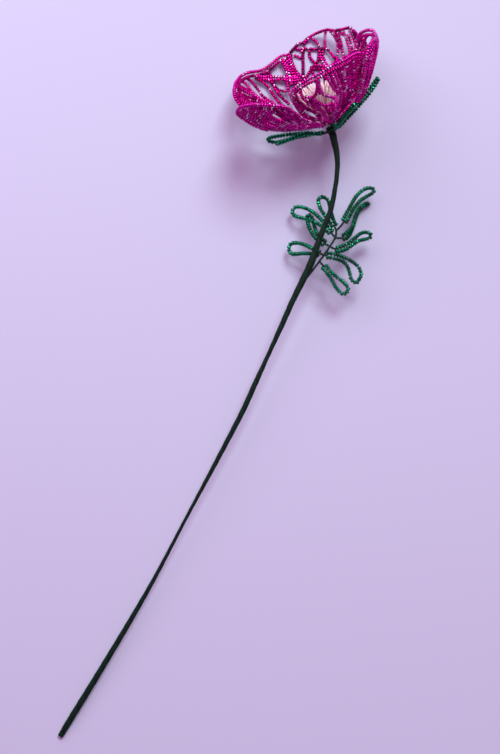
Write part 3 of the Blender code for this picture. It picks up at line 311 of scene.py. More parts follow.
        [(-0.6, -0.05), (-0.8, 0.06), (-1.08, 0.2), (-1.1, 0.45), (-1.05, 0.7), (-1, 0.9), (-0.94, 0.98),
         (-0.75, 0.995), (-0.5, 0.99), (-0.25, 0.98), (0, 0.97), (0.25, 0.96), (0.5, 0.96), (0.75, 0.965),
         (0.94, 0.95), (1, 0.88), (1.01, 0.7), (1, 0.45), (0.93, 0.2), (0.78, 0.06), (0.6, -0.05)],
        [(-0.98, 0.86), (-0.9, 0.94), (-0.75, 0.95), (-0.5, 0.945), (-0.25, 0.935), (0, 0.925),
         (0.25, 0.915), (0.5, 0.925), (0.75, 0.93), (0.9, 0.9), (0.96, 0.84)],
        [(-0.82, 0.95), (-0.84, 0.84), (-0.84, 0.7), (-0.82, 0.54), (-0.74, 0.34)],
        [(-0.64, 0.945), (-0.7, 0.85), (-0.72, 0.74), (-0.7, 0.6), (-0.62, 0.42)],
        [(-0.5, 0.945), (-0.52, 0.85), (-0.55, 0.75), (-0.58, 0.64), (-0.54, 0.5), (-0.5, 0.3),
         (-0.5, 0.14)],
        [(-0.34, 0.94), (-0.38, 0.83), (-0.42, 0.7), (-0.42, 0.56), (-0.38, 0.4)],
        [(-0.18, 0.93), (-0.24, 0.82), (-0.28, 0.68), (-0.3, 0.5), (-0.26, 0.3), (-0.27, 0.05)],
        [(-0.02, 0.93), (-0.08, 0.8), (-0.12, 0.64), (-0.12, 0.46)],
        [(0.14, 0.92), (0.1, 0.78), (0.06, 0.6), (0.02, 0.4), (0, 0.15), (0, -0.05)],
        [(0.32, 0.92), (0.28, 0.76), (0.26, 0.58), (0.25, 0.36), (0.27, 0.05)],
        [(0.5, 0.92), (0.48, 0.76), (0.46, 0.56), (0.48, 0.34), (0.5, 0.14)],
        [(0.68, 0.93), (0.66, 0.76), (0.64, 0.56)],
        [(0.84, 0.92), (0.84, 0.74), (0.8, 0.5), (0.74, 0.3)],
        [(-1, 0.6), (-0.84, 0.66), (-0.7, 0.67), (-0.56, 0.7)],
        [(-0.91, 0.93), (-0.92, 0.82), (-0.92, 0.68)],
        [(-0.73, 0.95), (-0.77, 0.85), (-0.78, 0.73), (-0.76, 0.6)],
        [(-0.57, 0.945), (-0.6, 0.88), (-0.62, 0.84)],
        [(-0.42, 0.94), (-0.45, 0.85), (-0.48, 0.75), (-0.5, 0.64)],
        [(-0.26, 0.935), (-0.31, 0.83), (-0.35, 0.7)],
        [(-0.1, 0.93), (-0.16, 0.82), (-0.2, 0.68)],
        [(0.06, 0.92), (0.01, 0.8), (-0.03, 0.64)],
        [(0.23, 0.92), (0.19, 0.78), (0.16, 0.6)],
        [(0.41, 0.92), (0.38, 0.76), (0.36, 0.58)],
        [(0.59, 0.925), (0.57, 0.76), (0.55, 0.56)],
        [(0.76, 0.925), (0.75, 0.76), (0.72, 0.56)],
        [(0.92, 0.86), (0.92, 0.74), (0.9, 0.56)],
        [(-0.97, 0.92), (-0.98, 0.7), (-1, 0.5), (-0.97, 0.3), (-0.88, 0.14)],
    ],
]

# Stem: points of the centre line and the radius over the tape, from the cut end to the bloom
STEM = [
    (1.9, -231.0, 1.30, 1.55), (2.1, -226.0, 1.55, 1.70), (2.6, -216.0, 2.8, 1.78), (4.3, -185.3, 4.6, 1.63),
    (5.9, -148.0, 6.9, 1.38), (6.4, -121.8, 8.6, 1.10), (6.0, -86.0, 11.0, 0.93), (5.9, -50.0, 13.6, 1.27),
    (5.5, -19.6, 15.8, 1.48), (4.3, -2.0, 17.2, 1.48), (3.2, 14.7, 18.4, 1.18), (1.9, 34.0, 19.9, 1.48),
    (0.8, 48.7, 21.0, 1.60), (-0.1, 71.1, 22.3, 1.95), (-2.1, 84.0, 23.2, 1.66), (-3.4, 93.8, 23.9, 1.50),
    (-4.7, 103.4, 24.6, 1.42), (-8.3, 114.9, 25.4, 1.28), (-11.2, 122.3, 25.9, 1.28),
    (-14.7, 129.0, 26.3, 1.45), (-18.4, 133.9, 26.6, 1.70),
]
STEM_TOP = [(-5.5, 1.98), (-0.4, 2.05)]     # the last two, as height along the bloom's axis and radius

# Tape: along the stem for one turn, and the rest as shares of the radius or of a turn
TAPE_TURN = 8.5
TAPE_SIDES = 28
TAPE_RADIUS = 0.985
TAPE_EDGE = 0.09          # height of a turn's edge
TAPE_EDGE_WIDTH = 0.07
TAPE_WOBBLES = 80         # more than the tape's turns
TAPE_WOBBLE = 0.18
WRINKLE = 0.012
WRINKLES_A_TURN = 5
WRINKLE_LOBES = 2         # round the stem
WRINKLE_DRIFT = (1.7, 0.9)    # in radians for each millimetre along the stem
TAPE_INSET = 0.02         # from the low sides of the box, in millimetres
CUT_END_BULGE = 0.1       # in millimetres

# Leaf: where its stalk starts inside the tape and leaves it, and the places that its loops branch from
LEAF_START = (0.9, 60.0, 20.9)
LEAF_EXIT = (2.2, 66.5, 20.9)
LEAF_NODES = [(3.5, 75.0, 20.3), (4.1, 79.3, 20.1), (4.7, 85.2, 19.8), (5.0, 90.8, 19.6), (3.7, 94.6, 19.4)]
# Each loop: where it branches, heading at its start, middle and end, length, height of its tip, half width,
# where it opens, roll about its length, and bare wire before the beads
LEAF_LOOPS = [
    (4, 68, 88, 30, 33.5, 9.0, 2.0, 0.35, 10, 6.0),
    (3, 8, 100, 36, 31.5, 1.15, 2.1, 0.20, 80, 3.5),
    (2, -17, 66, 10, 26.2, 12.0, 2.0, 0.55, 20, 3.0),
    (1, 25, -6, -80, 27.0, 15.0, 3.1, 0.38, 8, 0.8),
    (0, -21, -20, -20, 23.2, 16.0, 2.7, 0.30, 12, 3.0),
    (4, 142, 142, 119, 21.0, 12.0, 3.3, 0.10, 25, 2.0),
    (3, 158, 170, 208, 29.6, 7.0, 3.0, 0.20, 5, 3.0),
    (2, 189, 146, 118, 23.0, 9.0, 1.9, 0.15, 30, 2.5),
    (1, 194, 190, 222, 20.0, 7.0, 3.2, 0.12, 5, 2.0),
]
TIP_LEVELS = 0.85         # at 1 a loop would come level at its tip
WIRE_OVERLAP = 3          # steps that the bare wire runs on into the beads

# The outline of a loop, as shares of its length, and of a bead where its two sides touch
SIDES_TOUCH = 0.48
LOOP_WIDEST = 0.8
LOOP_CAP = 0.85
LOOP_TURNED = 0.35

# Calyx: its ring, and azimuth, tip radius and height, height halfway, half width and roll of each loop
CALYX_RING_HEIGHT = -2.6
CALYX_RING_RADIUS = 2.75
CALYX_LOOPS = [
    (-86, 30, 2.6, 1.6, 1.9, 10), (-62, 37, 4.6, 1.2, 2.6, 50), (90, 35, 12.8, 3.1, 1.6, 15),
    (150, 28, 8.0, 2.2, 1.9, 10), (15, 24, 3.4, -0.6, 1.9, 0),
]
CALYX_RING_POINTS = 24
CALYX_BARE = 5.0          # radius where the beads start
CALYX_BARE_RISE = 0.2
CALYX_MIDDLE = 0.5        # of the tip's radius
CALYX_OUTER = 0.78
CALYX_OPENS = 0.3

# Tuft: a knot round the head of the stem wire and the threads that fan out from it
KNOT_RADIUS = 2.3
KNOT_LOW = 2.7
KNOT_HIGH = 7.2
KNOT_RINGS = 12
KNOT_SIDES = 18
KNOT_ENDS = (0.35, 0.45)  # in radians, what its outline leaves out of a half circle
FIBRES = 230
FIBRE_SIDES = 4
FIBRE_SPREAD = 39
FIBRE_LENGTH = 21.0
FIBRE_THICKNESS = 0.42
FIBRE_TAPER = [(0.05, 1.0), (0.3, 1.0), (0.6, 1.0), (0.85, 0.9), (1.0, 0.7)]   # place along it and thickness
GOLDEN_ANGLE = 137.508
AZIMUTH_SHIFT = 4
LENGTH_CHANGE = (-5.5, 1.5)
BEND_SPREAD = 0.09
CURL_SPREAD = 9

# Looks: a glass's tones from dark to bright, the brightest a painted highlight for the beads that glint, the
# colour of the painted shade at a bead's ends, and the tint of its reflections
MAGENTA_TONES = [(0.0, (0.28, 0.0, 0.13)), (0.35, (1.0, 0.002, 0.45)), (0.8, (1.0, 0.03, 0.60)),
                 (1.0, (1.0, 0.50, 0.88))]
MAGENTA_END_SHADE = (0.09, 0.0, 0.05)
MAGENTA_SHEEN = (0.6, 0.03, 0.38)
GREEN_TONES = [(0.0, (0.0, 0.14, 0.06)), (0.5, (0.0, 0.32, 0.145)), (1.0, (0.02, 0.62, 0.29))]
GREEN_END_SHADE = (0.0, 0.002, 0.001)
GREEN_SHEEN = (0.0, 0.05, 0.02)
TAPE_TONES = [(0.0, (0.001, 0.003, 0.002)), (0.12, (0.002, 0.017, 0.010)), (1.0, (0.004, 0.030, 0.018))]
THREAD_TONES = [(0.0, (0.40, 0.07, 0.22)), (0.35, (0.85, 0.50, 0.60)), (0.8, (1.0, 0.92, 0.85))]
PINK_WIRE = (0.30, 0.02, 0.15)
GREEN_WIRE = (0.02, 0.06, 0.045)
STEEL_WIRE = (0.50, 0.50, 0.50)
WIRE_SHADE = 0.7          # darkest patches of a wire, of its colour
WIRE_PATCHES = (0.3, 0.7)
FLOOR_COLOUR = (0.55, 0.533, 0.755)
FLOOR_REACH = 3.0
BUMP_HEIGHT = 0.0002      # in metres, like the floor's reach
BLOTCHES = 0.5            # how much they darken the tape

# Camera and light: metres, degrees and watts, with the lens and the sensor in millimetres
CAMERA_HEIGHT = 0.8357
CAMERA_TURN = 28.3
LENS = 70
SENSOR = 36
LIGHT_TARGET = (0.0, 0.1, 0.0)
LIGHT_HEADING = 98
LIGHT_RISE = 54
LIGHT_DISTANCE = 2.2
LIGHT_SIZE = 0.8
LIGHT_POWER = 41
LIGHT_COLOUR = (0.79, 1.0, 0.86)
FILL_HEADING = 158
FILL_RISE = 42
FILL_DISTANCE = 0.75
FILL_SIZE = 0.5
FILL_POWER = 2.1
FILL_COLOUR = (1.0, 1.0, 1.0)

# Room: its glow far from the window and towards it, and how sharply that falls off
ROOM_DARK = 0.08
ROOM_BRIGHT = 1.15
ROOM_HEADING = 118
ROOM_RISE = 62
ROOM_SHARPNESS = 3.0
ROOM_COLOUR = (1.0, 0.44, 0.80)


# Curves and directions

def lengths(line):
    """Length along a line from its start to each of its points."""
    steps = np.linalg.norm(np.diff(line[:, :3], axis=0), axis=1)
    return np.concatenate([[0.0], np.cumsum(steps)])


def points_at(line, along, wanted):
    """The line's points at the wanted lengths along it."""
    return np.array([np.interp(wanted, along, column) for column in line.T]).T


def resample(line, spacing):
    """The line with even steps, as near to the spacing as its length allows."""
    along = lengths(line)
    count = max(1, round(along[-1] / spacing))
    return points_at(line, along, np.linspace(0.0, along[-1], count + 1))


def trim(line, at_start, at_end):
    """The line with its ends cut back."""
    along = lengths(line)
    return points_at(line, along, np.linspace(at_start, along[-1] - at_end, len(line)))


def smooth_curve(points, spacing):
    """Even steps along a smooth curve through the points, which may carry a radius as a fourth number."""
    points = np.array(points, float)
    if len(points) == 2:
        return resample(np.linspace(points[0], points[1], STRAIGHT_POINTS), spacing)
    ends = [2 * points[0] - points[1], *points, 2 * points[-1] - points[-2]]
    dense = [points[0]]
    for a, b, c, d in zip(ends, ends[1:], ends[2:], ends[3:]):
        for step in range(1, CURVE_STEPS + 1):
            t = step / CURVE_STEPS
            dense.append(0.5 * (2 * b + (c - a) * t + (2 * a - 5 * b + 4 * c - d) * t**2
                                + (3 * b - a - 3 * c + d) * t**3))
    return resample(np.array(dense), spacing)


def smooth_step(x):
    """Rises from 0 to 1 as x does, level at both ends."""
    x = min(max(x, 0.0), 1.0)
    return x * x * (3 - 2 * x)


def unit(vector):
    """The vector's direction, with length 1."""
    vector = np.array(vector, float)
    return vector / np.linalg.norm(vector)


def direction_of(heading_degrees, rise_degrees):
    """The direction with this heading from +X and this rise from the surface."""
    turn = math.radians(heading_degrees)
    lift = math.radians(rise_degrees)
    return np.array([math.cos(turn) * math.cos(lift), math.sin(turn) * math.cos(lift), math.sin(lift)])


# The bloom's own directions
AXIS = direction_of(AXIS_HEADING, AXIS_RISE)
SIDEWAYS = np.array([math.sin(math.radians(AXIS_HEADING)), -math.cos(math.radians(AXIS_HEADING)), 0.0])
DOWNWARDS = np.cross(AXIS, SIDEWAYS)

UPRIGHT_LINE = smooth_curve(UPRIGHT_CUP, CUP_STEP)
OPEN_LINE = smooth_curve(OPEN_CUP, CUP_STEP)


def bloom_point(azimuth, radius, height):
    """A point round the bloom's axis. Azimuth 0 faces the surface."""
    turn = math.radians(azimuth)
    return BLOOM_BASE + AXIS * height + (DOWNWARDS * math.cos(turn) + SIDEWAYS * math.sin(turn)) * radius


def cup_outline(azimuth, along):
    """Radius and height of the cup at a number of steps along its outline from the middle."""
    openness = (0.5 + 0.5 * math.cos(math.radians(azimuth - OPEN_SIDE))) ** OPEN_FOCUS
    at = []
    for line in (UPRIGHT_LINE, OPEN_LINE):
        place = min(max(along, 0.0), len(line) - CUP_END)
        low = int(place)
        at.append(line[low] * (1 - place + low) + line[low + 1] * (place - low))
    return at[0] * (1 - openness) + at[1] * openness


def petal_point(petal, s, t):
    """A point of a petal: s runs from -1 to 1 across it and t from 0 to 1 along it."""
    half = BASE_HALF_WIDTH + (PETAL_HALF_WIDTH - BASE_HALF_WIDTH) * smooth_step(t / WIDTH_GROWN)
    azimuth = petal["azimuth"] + s * half
    edge = petal["low_edge"] if s < 0 else petal["high_edge"]
    grown = EDGE_AT_FOOT + (1 - EDGE_AT_FOOT) * smooth_step(t / EDGE_GROWN)
    outside = edge * grown * smooth_step((abs(s) - EDGE_START) / EDGE_BAND)
    outside += BELLY * (1 - s * s) * smooth_step(t / BELLY_GROWN)
    reach = (petal["length"] - PETAL_START) * (1 - petal["roundness"] * s * s + petal["slant"] * s)
    along = PETAL_START + t * reach
    radius, height = cup_outline(azimuth, along)
    next_radius, next_height = cup_outline(azimuth, along + CUP_STEP)
    slope = unit([next_radius - radius, next_height - height])
    radius += petal["lean"] * t * t + slope[1] * outside
    height -= slope[0] * outside
    return rest_on_surface(bloom_point(azimuth, radius, height), outside)


def rest_on_surface(point, outside):
    """Bends a low petal up where it meets the surface, an inner edge above the outer one beside it."""
    level = FLOOR + max(0.0, -outside) * INNER_EDGE_RISE
    clearance = (point[2] - level) / REST_SOFTNESS
    if clearance < CLEAR_OF_FLOOR:
        point[2] = level + REST_SOFTNESS * math.log1p(math.exp(clearance))
    return point


def bead_loop(centre, width, opens, roll, axis_up):
    """The line of a loop that runs out along one side, round the tip and back along the other."""
    touching = GREEN_BEAD * SIDES_TOUCH
    tangents = np.gradient(centre, axis=0)
    out = []
    back = []
    for i, point in enumerate(centre):
        t = i / (len(centre) - 1)
        along = unit(tangents[i])
        flat = unit(np.cross(axis_up, along))
        upright = np.cross(along, flat)
        turn = math.radians(roll) * smooth_step(t / LOOP_TURNED)
        across = flat * math.cos(turn) + upright * math.sin(turn)
        half = touching + (width - touching) * smooth_step((t - opens) / (LOOP_WIDEST - opens))
        if t > LOOP_CAP:
            half *= math.sqrt(max(0.0, 1 - ((t - LOOP_CAP) / (1 - LOOP_CAP)) ** 2))
        out.append(point + across * half)
        back.append(point - across * half)
    return np.array(out + back[-2::-1])


def leaf_loop(row):
    """A leaf loop's bare wire and the line of its beads."""
    node, start_heading, middle_heading, end_heading, length, tip, width, opens, roll, bare = row
    place = np.array(LEAF_NODES[node], float)
    start_height = place[2]
    line = [place.copy()]
    for i in range(LOOP_STEPS):
        t = (i + 0.5) / LOOP_STEPS
        turn = (start_heading * (1 - t) * (1 - 2 * t) + middle_heading * 4 * t * (1 - t)
                + end_heading * t * (2 * t - 1))
        place[0] += math.cos(math.radians(turn)) * length / LOOP_STEPS
        place[1] += math.sin(math.radians(turn)) * length / LOOP_STEPS
        risen = smooth_step((i + 1) / LOOP_STEPS * TIP_LEVELS) / smooth_step(TIP_LEVELS)
        place[2] = start_height + (tip - start_height) * risen
        line.append(place.copy())
    cut = round(bare / length * LOOP_STEPS)
    beads = bead_loop(np.array(line[cut:]), width, opens, roll, np.array([0.0, 0.0, 1.0]))
    return np.array(line[:cut + WIRE_OVERLAP]), beads


def calyx_loop(row):
    """A calyx loop's bare wire and the line of its beads."""
    azimuth, tip_radius, tip_height, middle_height, width, roll = row
    points = [(CALYX_RING_RADIUS, CALYX_RING_HEIGHT), (CALYX_BARE, CALYX_RING_HEIGHT + CALYX_BARE_RISE),
              (CALYX_MIDDLE * tip_radius, middle_height),
              (CALYX_OUTER * tip_radius, (middle_height + tip_height) / 2), (tip_radius, tip_height)]
    line = smooth_curve([bloom_point(azimuth, radius, height) for radius, height in points], LINE_STEP)
    cut = round((CALYX_BARE - CALYX_RING_RADIUS) / LINE_STEP)
    return line[:cut + WIRE_OVERLAP], bead_loop(line[cut:], width, CALYX_OPENS, roll, AXIS)


# Mesh pieces

class Builder:
    """Gathers points, faces, and a tone and a share free of painted shade for each point, and makes one
    object of them.
    """

    def __init__(self):
        self.points = []
        self.faces = []
        self.tones = []
        self.lit_shares = []
        self.count = 0

    def add(self, points, face_groups, tones, lit_share=1.0):
        """Takes points, and groups of faces that count from the first of them."""
        self.points.append(points)
        for faces in face_groups:
            self.faces.extend((faces + self.count).tolist())
        self.tones.append(np.broadcast_to(tones, (len(points),)))
        self.lit_shares.append(np.broadcast_to(lit_share, (len(points),)))
        self.count += len(points)

    def make(self, name, material, replaces=()):
        points = (np.concatenate(self.points) - [*ORIGIN, 0.0]) * MM
        mesh = bpy.data.meshes.new(name)
        mesh.from_pydata(points.tolist(), [], self.faces)
        for label, values in (("tone", self.tones), ("lit_share", self.lit_shares)):
            layer = mesh.attributes.new(label, "FLOAT", "POINT")
            layer.data.foreach_set("value", np.concatenate(values).astype(np.float32))
        mesh.shade_smooth()
        mesh.materials.append(material)
        piece = bpy.data.objects.new(name, mesh)
        bpy.context.scene.collection.objects.link(piece)
        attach(piece, "root")
        if replaces:
            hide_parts(*replaces)


def frames_along(line):
    """Tangents and two directions across a line that turn with it, without twist."""
    tangents = np.gradient(line[:, :3], axis=0)
    tangents /= np.linalg.norm(tangents, axis=1)[:, None]
    off_every_line = [0.31, 0.17, 0.94]
    across = unit(np.cross(tangents[0], off_every_line))
    sides = []
    for tangent in tangents:
        across = unit(across - tangent * np.dot(across, tangent))
        sides.append(across)
    sides = np.array(sides)
    return tangents, sides, np.cross(tangents, sides)


def angles_round(sides):
    """Even angles once round."""
    return np.arange(sides) * 2 * math.pi / sides


def spokes(across, upright, turn):
    """At each point of a line, the directions across it at the given angles."""
    return across[:, None] * np.cos(turn)[:, None] + upright[:, None] * np.sin(turn)[:, None]


def ring_faces(count, sides, closed=False):
    """Faces between neighbouring rings of points, and between the last and the first where closed."""
    faces = []
    for i in range(count if closed else count - 1):
        following = (i + 1) % count
        for k in range(sides):
            after = (k + 1) % sides
            faces.append((i * sides + k, i * sides + after, following * sides + after, following * sides + k))
    return np.array(faces)


def end_faces(count, sides):
    """Faces that close the first and the last ring with one more point each, which follow the rings' own."""
    faces = []
    tip = count * sides
    last = tip - sides
    for k in range(sides):
        after = (k + 1) % sides
        faces.append((after, k, tip))
        faces.append((last + k, last + after, tip + 1))
    return np.array(faces)


def add_tube(builder, rings, ends, tones):
    """A closed tube through rings of points, with a point in the middle of each end."""
    count, sides = rings.shape[:2]
    faces = (ring_faces(count, sides), end_faces(count, sides))
    builder.add(np.concatenate([rings.reshape(-1, 3), ends]), faces, tones)


def add_wire(builder, line, radius, sides=WIRE_SIDES, tone=PLAIN_TONE):
    """A round wire with closed ends. The radius is one number or one for each point."""
    _, across, upright = frames_along(line)
    radii = np.broadcast_to(radius, (len(line),))
    rings = line[:, None] + spokes(across, upright, angles_round(sides)) * radii[:, None, None]
    add_tube(builder, rings, line[[0, -1]], tone)


def add_twisted(builder, line, radius, turn_length):
    """Two wires twisted round each other."""
    line = resample(line, LINE_STEP)
    _, across, upright = frames_along(line)
    turns = lengths(line) / turn_length * 2 * math.pi
    for start in (0.0, math.pi):
        angle = (turns + start)[:, None]
        add_wire(builder, line + (across * np.cos(angle) + upright * np.sin(angle)) * radius, radius)


def add_beads(builder, line, size, pitch, rng):
    """Rings of glass threaded along a line, each a little different in size, set and tone."""
    line = resample(line, BEAD_LINE_STEP)
    tangents, across, upright = frames_along(line)
    along = lengths(line)
    count = max(1, int(along[-1] / pitch + 0.5))
    step = along[-1] / count
    profile = np.array([(-place, *rest) for place, *rest in HALF_BEAD] + HALF_BEAD[::-1])
    turn = angles_round(BEAD_SIDES)
    faces = (ring_faces(len(profile), BEAD_SIDES, closed=True),)
    strand_tone = rng.uniform(*STRAND_TONES)
    for i in range(count):
        at = min(int(np.searchsorted(along, (i + 0.5) * step)), len(line) - 1)
        tangent = unit(tangents[at] + across[at] * rng.gauss(0, LEAN_SPREAD)
                       + upright[at] * rng.gauss(0, LEAN_SPREAD))
        one = unit(across[at] - tangent * np.dot(across[at], tangent))
        other = np.cross(tangent, one)
        radius = size / 2 * (1 + rng.gauss(0, SIZE_SPREAD))
        depth = min(step * LONGEST_BEAD, pitch * (BEAD_LENGTH + rng.gauss(0, LENGTH_SPREAD)))
        spin = turn + rng.uniform(0, 2 * math.pi)
        place = line[at] + (one * rng.gauss(0, PLACE_SPREAD) + other * rng.gauss(0, PLACE_SPREAD))
        place = np.clip(place, BOX_LOW + radius, BOX_HIGH - radius)
        rings = (place + tangent * (profile[:, 0, None, None] * depth)
                 + (one * np.cos(spin)[:, None] + other * np.sin(spin)[:, None])
                 * (profile[:, 1, None, None] * radius))
        tone = min(max(strand_tone + rng.gauss(0, TONE_SPREAD), 0.0), 1.0)
        # Painted glint: some beads take the brightest, whitish tone of the ramp
        if rng.random() < PAINTED_GLINT_SHARE:
            tone = 1.0
        # The profile's last column says how far each ring is free of the painted shade at the bead's ends
        builder.add(rings.reshape(-1, 3), faces, tone, np.repeat(profile[:, 2], BEAD_SIDES))


def add_strand(beads, wires, line, bare, size, pitch, rng):
    """Beads on a thin wire, which is bare for the two given lengths at its ends."""
    add_wire(wires, resample(line, THREAD_STEP), THREAD_WIRE / 2)
    add_beads(beads, trim(line, *bare), size, pitch, rng)


def build_petal(number, petal, glass, wire_look):
    """A petal: its strands of beads, and the twisted wires from its base to the bloom's middle."""
    rng = random.Random(number + PETAL_SEED)
    beads = Builder()
    wires = Builder()
    for strand in LACES[number - 1]:
        line = smooth_curve([petal_point(petal, s, t) for s, t in smooth_curve(strand, LACE_STEP)], LINE_STEP)
        bare = [0.0 if t < 0 else STRAND_END for _, t in (strand[0], strand[-1])]
        add_strand(beads, wires, line, bare, PETAL_BEAD, PETAL_PITCH, rng)
    gather = bloom_point(petal["azimuth"], GATHER_RADIUS, GATHER_HEIGHT)
    for s in WIRE_PLACES:
        start = petal_point(petal, s, WIRE_START)
        middle = (start + gather) / 2 - AXIS * WIRE_SAG
        add_twisted(wires, smooth_curve([start, middle, gather], LINE_STEP), THREAD_WIRE / 2, THREAD_TWIST)
    name = f"petal_{number}"
    beads.make(name + "_beads", glass, [name])
    wires.make(name + "_wire", wire_look)


def build_loops(name, seed, stalk, stalk_twist, loops, glass, wire_look):
    """Green loops of beads on their bare wires, and the twisted wire that they branch from."""
    rng = random.Random(seed)
    beads = Builder()
    wires = Builder()
    add_twisted(wires, stalk, LEAF_WIRE / 2, stalk_twist)
    for wire, line in loops:
        add_twisted(wires, wire, LEAF_WIRE / 2, LEAF_TWIST)
        add_strand(beads, wires, line, (STRAND_END, STRAND_END), GREEN_BEAD, GREEN_PITCH, rng)
    beads.make(name + "_beads", glass, [name])
    wires.make(name + "_wire", wire_look)


def build_leaf(glass, wire_look):
    """The stalk, from inside the tape to its last branch, and nine loops."""
    stalk = smooth_curve([LEAF_START, LEAF_EXIT, *LEAF_NODES], LINE_STEP)
    build_loops("leaf", LEAF_SEED, stalk, LEAF_TWIST, map(leaf_loop, LEAF_LOOPS), glass, wire_look)


def build_calyx(glass, wire_look):
    """A ring round the top of the stem, and five loops under the bloom."""
    ring = np.array([bloom_point(360 * k / CALYX_RING_POINTS, CALYX_RING_RADIUS, CALYX_RING_HEIGHT)
                     for k in range(CALYX_RING_POINTS + 1)])
    build_loops("calyx", CALYX_SEED, ring, RING_TWIST, map(calyx_loop, CALYX_LOOPS), glass, wire_look)


def build_stem(material):
    """Tape wound in a spiral: each turn's edge stands a little over the turn before."""
    foot, top = [(*(BLOOM_BASE + AXIS * height), radius) for height, radius in STEM_TOP]
    line = resample(np.array([*smooth_curve([*STEM, foot], STEM_STEP), top]), TAPE_STEP)
    _, across, upright = frames_along(line)
    along = lengths(line)[:, None]
    turn = angles_round(TAPE_SIDES)
    rng = random.Random(TAPE_SEED)
    shifts = [rng.uniform(-TAPE_WOBBLE, TAPE_WOBBLE) for _ in range(TAPE_WOBBLES)]
    phase = along / TAPE_TURN + turn / (2 * math.pi)
    within = np.mod(phase + np.interp(phase, np.arange(TAPE_WOBBLES), shifts), 1.0)
    edge = np.clip(within / TAPE_EDGE_WIDTH, 0, 1) - within
    wrinkle = WRINKLE * (np.sin(phase * 2 * math.pi * WRINKLES_A_TURN + along * WRINKLE_DRIFT[0])
                         * np.sin(along * WRINKLE_DRIFT[1] + turn * WRINKLE_LOBES))
    radii = line[:, 3:4] * (TAPE_RADIUS + TAPE_EDGE * edge + wrinkle)
    line = line[:, :3]
    rings = line[:, None] + spokes(across, upright, turn) * radii[:, :, None]
    rings = np.clip(rings, BOX_LOW + TAPE_INSET, BOX_HIGH)
    ends = np.array([line[0] + unit(line[0] - line[1]) * CUT_END_BULGE, line[-1]])
    tape = Builder()
    add_tube(tape, rings, ends, np.concatenate([within.ravel(), [PLAIN_TONE, PLAIN_TONE]]))
    tape.make("wound_tape", material, ["stem_tape"])


def build_tuft(material):
    """Threads bound to the head of the stem wire, whose cut ends fan out."""
    rng = random.Random(TUFT_SEED)
    tuft = Builder()
    knot = [BLOOM_BASE + AXIS * height for height in np.linspace(KNOT_LOW, KNOT_HIGH, KNOT_RINGS)]
    arc = np.linspace(KNOT_ENDS[0], math.pi - KNOT_ENDS[1], KNOT_RINGS)
    add_wire(tuft, np.array(knot), KNOT_RADIUS * np.sqrt(np.sin(arc)), KNOT_SIDES, 0.0)
    middle = (KNOT_LOW + KNOT_HIGH) / 2
    radii = np.array([thickness for _, thickness in FIBRE_TAPER]) * FIBRE_THICKNESS / 2
    for k in range(FIBRES):
        lean = math.radians(FIBRE_SPREAD) * math.sqrt((k + 0.5) / FIBRES)
        azimuth = GOLDEN_ANGLE * k + rng.uniform(-AZIMUTH_SHIFT, AZIMUTH_SHIFT)
        length = FIBRE_LENGTH + rng.uniform(*LENGTH_CHANGE)
        bend = rng.gauss(0, BEND_SPREAD)
        curl = rng.gauss(0, CURL_SPREAD)
        line = []
        for share, _ in FIBRE_TAPER:
            reach = length * share
            tilt = lean + bend * share * share
            line.append(bloom_point(azimuth + curl * share * share, math.sin(tilt) * reach,
                                    middle + math.cos(tilt) * reach))
        add_wire(tuft, np.array(line), radii, FIBRE_SIDES, rng.random())
    tuft.make("thread_tuft", material, ["centre_tuft"])


# Materials

def make_material(name, values):
    """A material with its nodes, its links and its shader, whose sockets are set to the values."""
    material = bpy.data.materials.new(name)
    material.use_nodes = True
    nodes = material.node_tree.nodes
    shader = nodes["Principled BSDF"]
    for socket, value in values.items():
        shader.inputs[socket].default_value = value
    return material, nodes, material.node_tree.links, shader


def add_ramp(nodes, links, source, stops):
    """Colours for a value, and the output that gives them."""
    ramp = nodes.new("ShaderNodeValToRGB")
    while len(ramp.color_ramp.elements) < len(stops):
        ramp.color_ramp.elements.new(0.5)
    for element, (place, colour) in zip(ramp.color_ramp.elements, stops):
        element.position = place
        element.color = (*colour, 1.0)
    links.new(source, ramp.inputs["Fac"])
    return ramp.outputs["Color"]


def layer_value(nodes, name):
    """One of the values that each point of a mesh carries."""
    layer = nodes.new("ShaderNodeAttribute")
    layer.attribute_name = name
    return layer.outputs["Fac"]


def add_noise(nodes, scale, detail=2.0):
    """Random patches, finer where the scale is higher."""
    noise = nodes.new("ShaderNodeTexNoise")
    noise.inputs["Scale"].default_value = scale
    noise.inputs["Detail"].default_value = detail
    return noise


def add_bumps(nodes, links, shader, noise, strength):
    """Small bumps in the surface where the noise is high."""
    bump = nodes.new("ShaderNodeBump")
    bump.inputs["Strength"].default_value = strength
    bump.inputs["Distance"].default_value = BUMP_HEIGHT
    links.new(noise.outputs["Fac"], bump.inputs["Height"])
    links.new(bump.outputs["Normal"], shader.inputs["Normal"])


def glass_beads(name, stops, edge, sheen, roughness, metallic, coat):
    """Dyed glass: strong colour that varies from bead to bead, with painted shade at a bead's ends where it
    meets the next and a painted highlight on the beads at the top of the ramp, under a clear gloss."""
    material, nodes, links, shader = make_material(name, {
        "Roughness": roughness, "Metallic": metallic, "Specular Tint": (*sheen, 1.0), "IOR": 1.52,
        "Coat Weight": coat, "Coat Roughness": 0.06})
    # Painted shade: the colour falls to the dark end colour towards a bead's ends, where beads meet
    mix = nodes.new("ShaderNodeMix")
    mix.data_type = "RGBA"
    mix.inputs["A"].default_value = (*edge, 1.0)
    links.new(layer_value(nodes, "lit_share"), mix.inputs["Factor"])
    links.new(add_ramp(nodes, links, layer_value(nodes, "tone"), stops), mix.inputs["B"])
    links.new(mix.outputs["Result"], shader.inputs["Base Color"])
    add_bumps(nodes, links, shader, add_noise(nodes, scale=900), strength=0.25)
    return material


